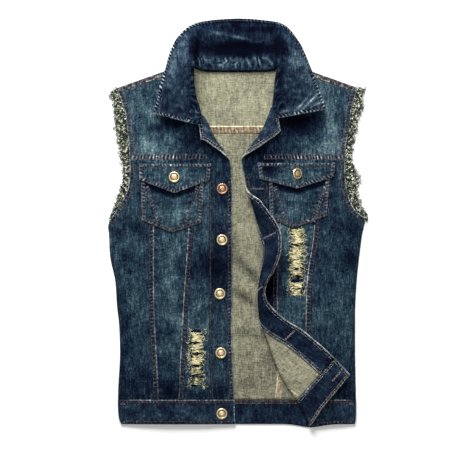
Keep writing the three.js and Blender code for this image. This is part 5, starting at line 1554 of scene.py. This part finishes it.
for front in (RIGHT, LEFT):
    for layer, level in (("front", SIDE_TOP - 0.3 * MM), ("back", BACK_TOP)):
        seed = 200 + (front is LEFT) * 2 + (layer == "back")
        chance = np.random.default_rng(seed)
        y = np.linspace(FRAY_FOOT, FRAY_TOP, MAT_ROWS)[:, None]
        x, out_x, out_y = edge_out(front, y)
        ragged = 0.72 + 0.25 * patchy(y, 0 * y, 12 * MM, seed) + 0.15 * patchy(y, 0 * y, 2.2 * MM, seed + 9)
        width = along(FRAY_WIDTHS, front["name"], y) * ragged
        width = np.minimum(width, (FRAY_REACH - x) / np.maximum(out_x, 0.2))
        s = np.linspace(0, 1, 9)[None, :]
        mat_x, mat_y = x + out_x * width * s, y + out_y * width * s
        lumps = 0.5 * MM * patchy(mat_x, mat_y, 2.4 * MM, seed + 20)
        lumps = lumps + 0.3 * MM * patchy(mat_x, mat_y, 1.3 * MM, seed + 21)
        mat_z = np.maximum(level - 1.3 * MM - 0.6 * MM * s, 0.9 * MM) + 0.7 * lumps
        mat = np.stack([front["sign"] * mat_x, mat_y, mat_z], -1)
        under = mat - np.array([0, 0, 0.6 * MM])
        under[..., 2] = np.maximum(under[..., 2], 0.1 * MM)
        # The mat is painted near black: painted shade in the gaps between the yarns.
        mat_shaded_wash = 0.05 + 0.2 * patchy(mat_x, mat_y, 2.4 * MM, seed + 22)
        mat_shaded_wash = mat_shaded_wash + 0.2 * patchy(mat_x, mat_y, 1.3 * MM, seed + 23)
        felt = wall(mat, under, cut_of(mat_x, mat_y), mat_shaded_wash, finish_in=0)
        lock = chance.integers(0, FRAY_LOCKS, FRAY_YARNS)
        lock_step = (FRAY_TOP - FRAY_FOOT) / FRAY_LOCKS
        lock_y = FRAY_FOOT + lock_step * (np.arange(FRAY_LOCKS) + 0.5 + chance.uniform(-0.2, 0.2, FRAY_LOCKS))
        lock_size, lock_lean = chance.uniform(0.7, 1.2, FRAY_LOCKS), chance.normal(0, 0.3, FRAY_LOCKS)
        off_lock = chance.normal(0, 0.42, FRAY_YARNS)
        root_y = np.clip(lock_y[lock] + off_lock * lock_step, FRAY_FOOT, FRAY_TOP)
        root_x, aim_x, aim_y = edge_out(front, root_y)
        lean = lock_lean[lock] + chance.normal(0, 0.4, FRAY_YARNS)
        fray_width = along(FRAY_WIDTHS, front["name"], root_y)
        inset = chance.uniform(-0.04, 0.55, FRAY_YARNS) * fray_width
        heights = np.full(FRAY_YARNS, level) + chance.uniform(-0.5, 0.9, FRAY_YARNS) * MM
        roots = np.stack([front["sign"] * (root_x + aim_x * inset), root_y + aim_y * inset, heights], -1)
        turned_x = aim_x * np.cos(lean) - aim_y * np.sin(lean)
        turned_y = aim_x * np.sin(lean) + aim_y * np.cos(lean)
        aims = np.stack([front["sign"] * turned_x, turned_y, 0 * lean], -1)
        lengths = lock_size[lock] * chance.uniform(0.3, 0.85, FRAY_YARNS) * fray_width
        room = (FRAY_REACH - np.abs(roots[:, 0])) / np.maximum(turned_x, 0.2)
        lengths = np.clip(lengths, 1.5 * MM, np.maximum(room - 1 * MM, 1.5 * MM))
        paths = curls(roots, aims, lengths, 10, 2.4 * MM, 7 * MM, seed)
        yarns = list(threads(paths, FRAY_RADIUS, 0.27, 0.34, seed))
        # Painted light and shade: yarns far from their lock's middle are darker, and each yarn is painted
        # lighter where it lies high and darker where it lies low.
        lock_edge_shade = np.repeat(0.06 - 0.5 * off_lock**2, paths.shape[1] * 4)
        yarns[4] = yarns[4] + lock_edge_shade + 0.10 * (yarns[0][:, 2] - level) / MM
        fray = sewn(f"fray_{layer}_{front['name']}_yarns", [felt, yarns], raw_yarn)
        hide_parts(f"fray_{layer}_{front['name']}")

# Rips: the blue warp is worn away in a strip of each front, and the pale weft yarns lie bare across it in
# bundles, some of them broken, with loose ends at the rim.
WEFT_TONES = [
    (0.0, (0.03, 0.042, 0.034)), (0.35, (0.17, 0.19, 0.13)), (0.7, (0.66, 0.58, 0.29)),
    (1.0, (0.92, 0.87, 0.58)),
]
bare_weft = yarn_finish("bare_weft", WEFT_TONES, 2.0)
WEFT_STEP = 0.62 * MM
WEFT_RADIUS = 0.52 * MM
WEFT_POINTS = 9
LOOSE_ENDS = 150
BUNDLES = {
    "right": rows("x y half tall amount", [
        (72, -199.5, 9, 16, 0.12), (72, -218.5, 9.5, 17, 0.10), (71.5, -239, 9.5, 17, 0.02),
        (72, -258, 8.5, 13, -0.18), (71, -276.5, 8.5, 14, -0.3),
    ]),
    "left": rows("x y half tall amount", [
        (104, -23.6, 9, 26, 0.14), (103, -59.5, 9.5, 42, -0.02), (102, -86, 9, 12, -0.05),
        (102.5, -109, 8.5, 11, 0.14), (102, -121, 7.5, 13, -0.05),
    ]),
}
for front in (RIGHT, LEFT):
    name = front["name"]
    surface, bundles = on_front(front), BUNDLES[name]
    chance = np.random.default_rng(300 + (front is LEFT))
    walls = []
    for k, x_mid in enumerate(bundles["x"]):
        count = int(bundles["tall"][k] / WEFT_STEP)
        t = np.linspace(-1, 1, WEFT_POINTS)[None, :]
        reach = bundles["half"][k] + chance.uniform(-3.2, 3.2, (count, 1)) * MM
        spot = np.linspace(-0.5, 0.5, count)[:, None] * bundles["tall"][k]
        pinch = 1 - 0.25 * (1 - t**2) * chance.uniform(0.2, 1.2)
        sway = chance.normal(0, 0.55, (count, WEFT_POINTS)) * MM + chance.normal(0, 1.2, (count, 1)) * t * MM
        x = x_mid + reach * t + chance.normal(0, 1.6, (count, 1)) * MM
        y = bundles["y"][k] + spot * pinch + sway + chance.normal(0, 0.4, (count, 1)) * MM
        broken = chance.random((count, 1)) < 0.22
        x = np.where(broken, x_mid + (x - x_mid) * 0.55 + np.sign(chance.normal(size=(count, 1))) * 5 * MM, x)
        raised = (0.1 + 0.5 * (1 - t**2) + 0.35 * chance.normal(size=(count, WEFT_POINTS))) * MM
        yarns = list(threads(surface(x, y, raised), WEFT_RADIUS, 0.77 + bundles["amount"][k], 0.26, 310 + k))
        tone_along = 0.45 * patchy(x, y, 3.2 * MM, 340 + k) - 0.5 * np.abs(t) ** 3
        yarns[4] = yarns[4] + np.repeat(tone_along.ravel(), 4)
        walls.append(yarns)
    rip = RIPS[name]
    side = np.sign(chance.normal(size=LOOSE_ENDS))
    end_x = rip["x"] + side * (rip["half_width"] - 2 * MM + chance.normal(0, 2, LOOSE_ENDS) * MM)
    end_y = chance.uniform(rip["low"], rip["high"], LOOSE_ENDS)
    roots = surface(end_x, end_y, np.full(LOOSE_ENDS, 0.4 * MM))
    angle = chance.uniform(0, 2 * np.pi, LOOSE_ENDS)
    aims = np.stack([np.cos(angle), np.sin(angle), 0.05 + 0 * angle], -1)
    fuzz = curls(roots, aims, chance.uniform(2.5, 7, LOOSE_ENDS) * MM, 7, 1.1 * MM, 5 * MM, 320, low=0.0)
    fuzz[..., 2] = np.maximum(fuzz[..., 2], roots[:, 2:] - 0.1 * MM)
    walls.append(threads(fuzz, 0.26 * MM, 0.75, 0.25, 330))
    sewn(f"rip_yarns_{name}", walls, bare_weft)


cad_box = [list(map(float, corner)) for corner in (cad_low, cad_high)]
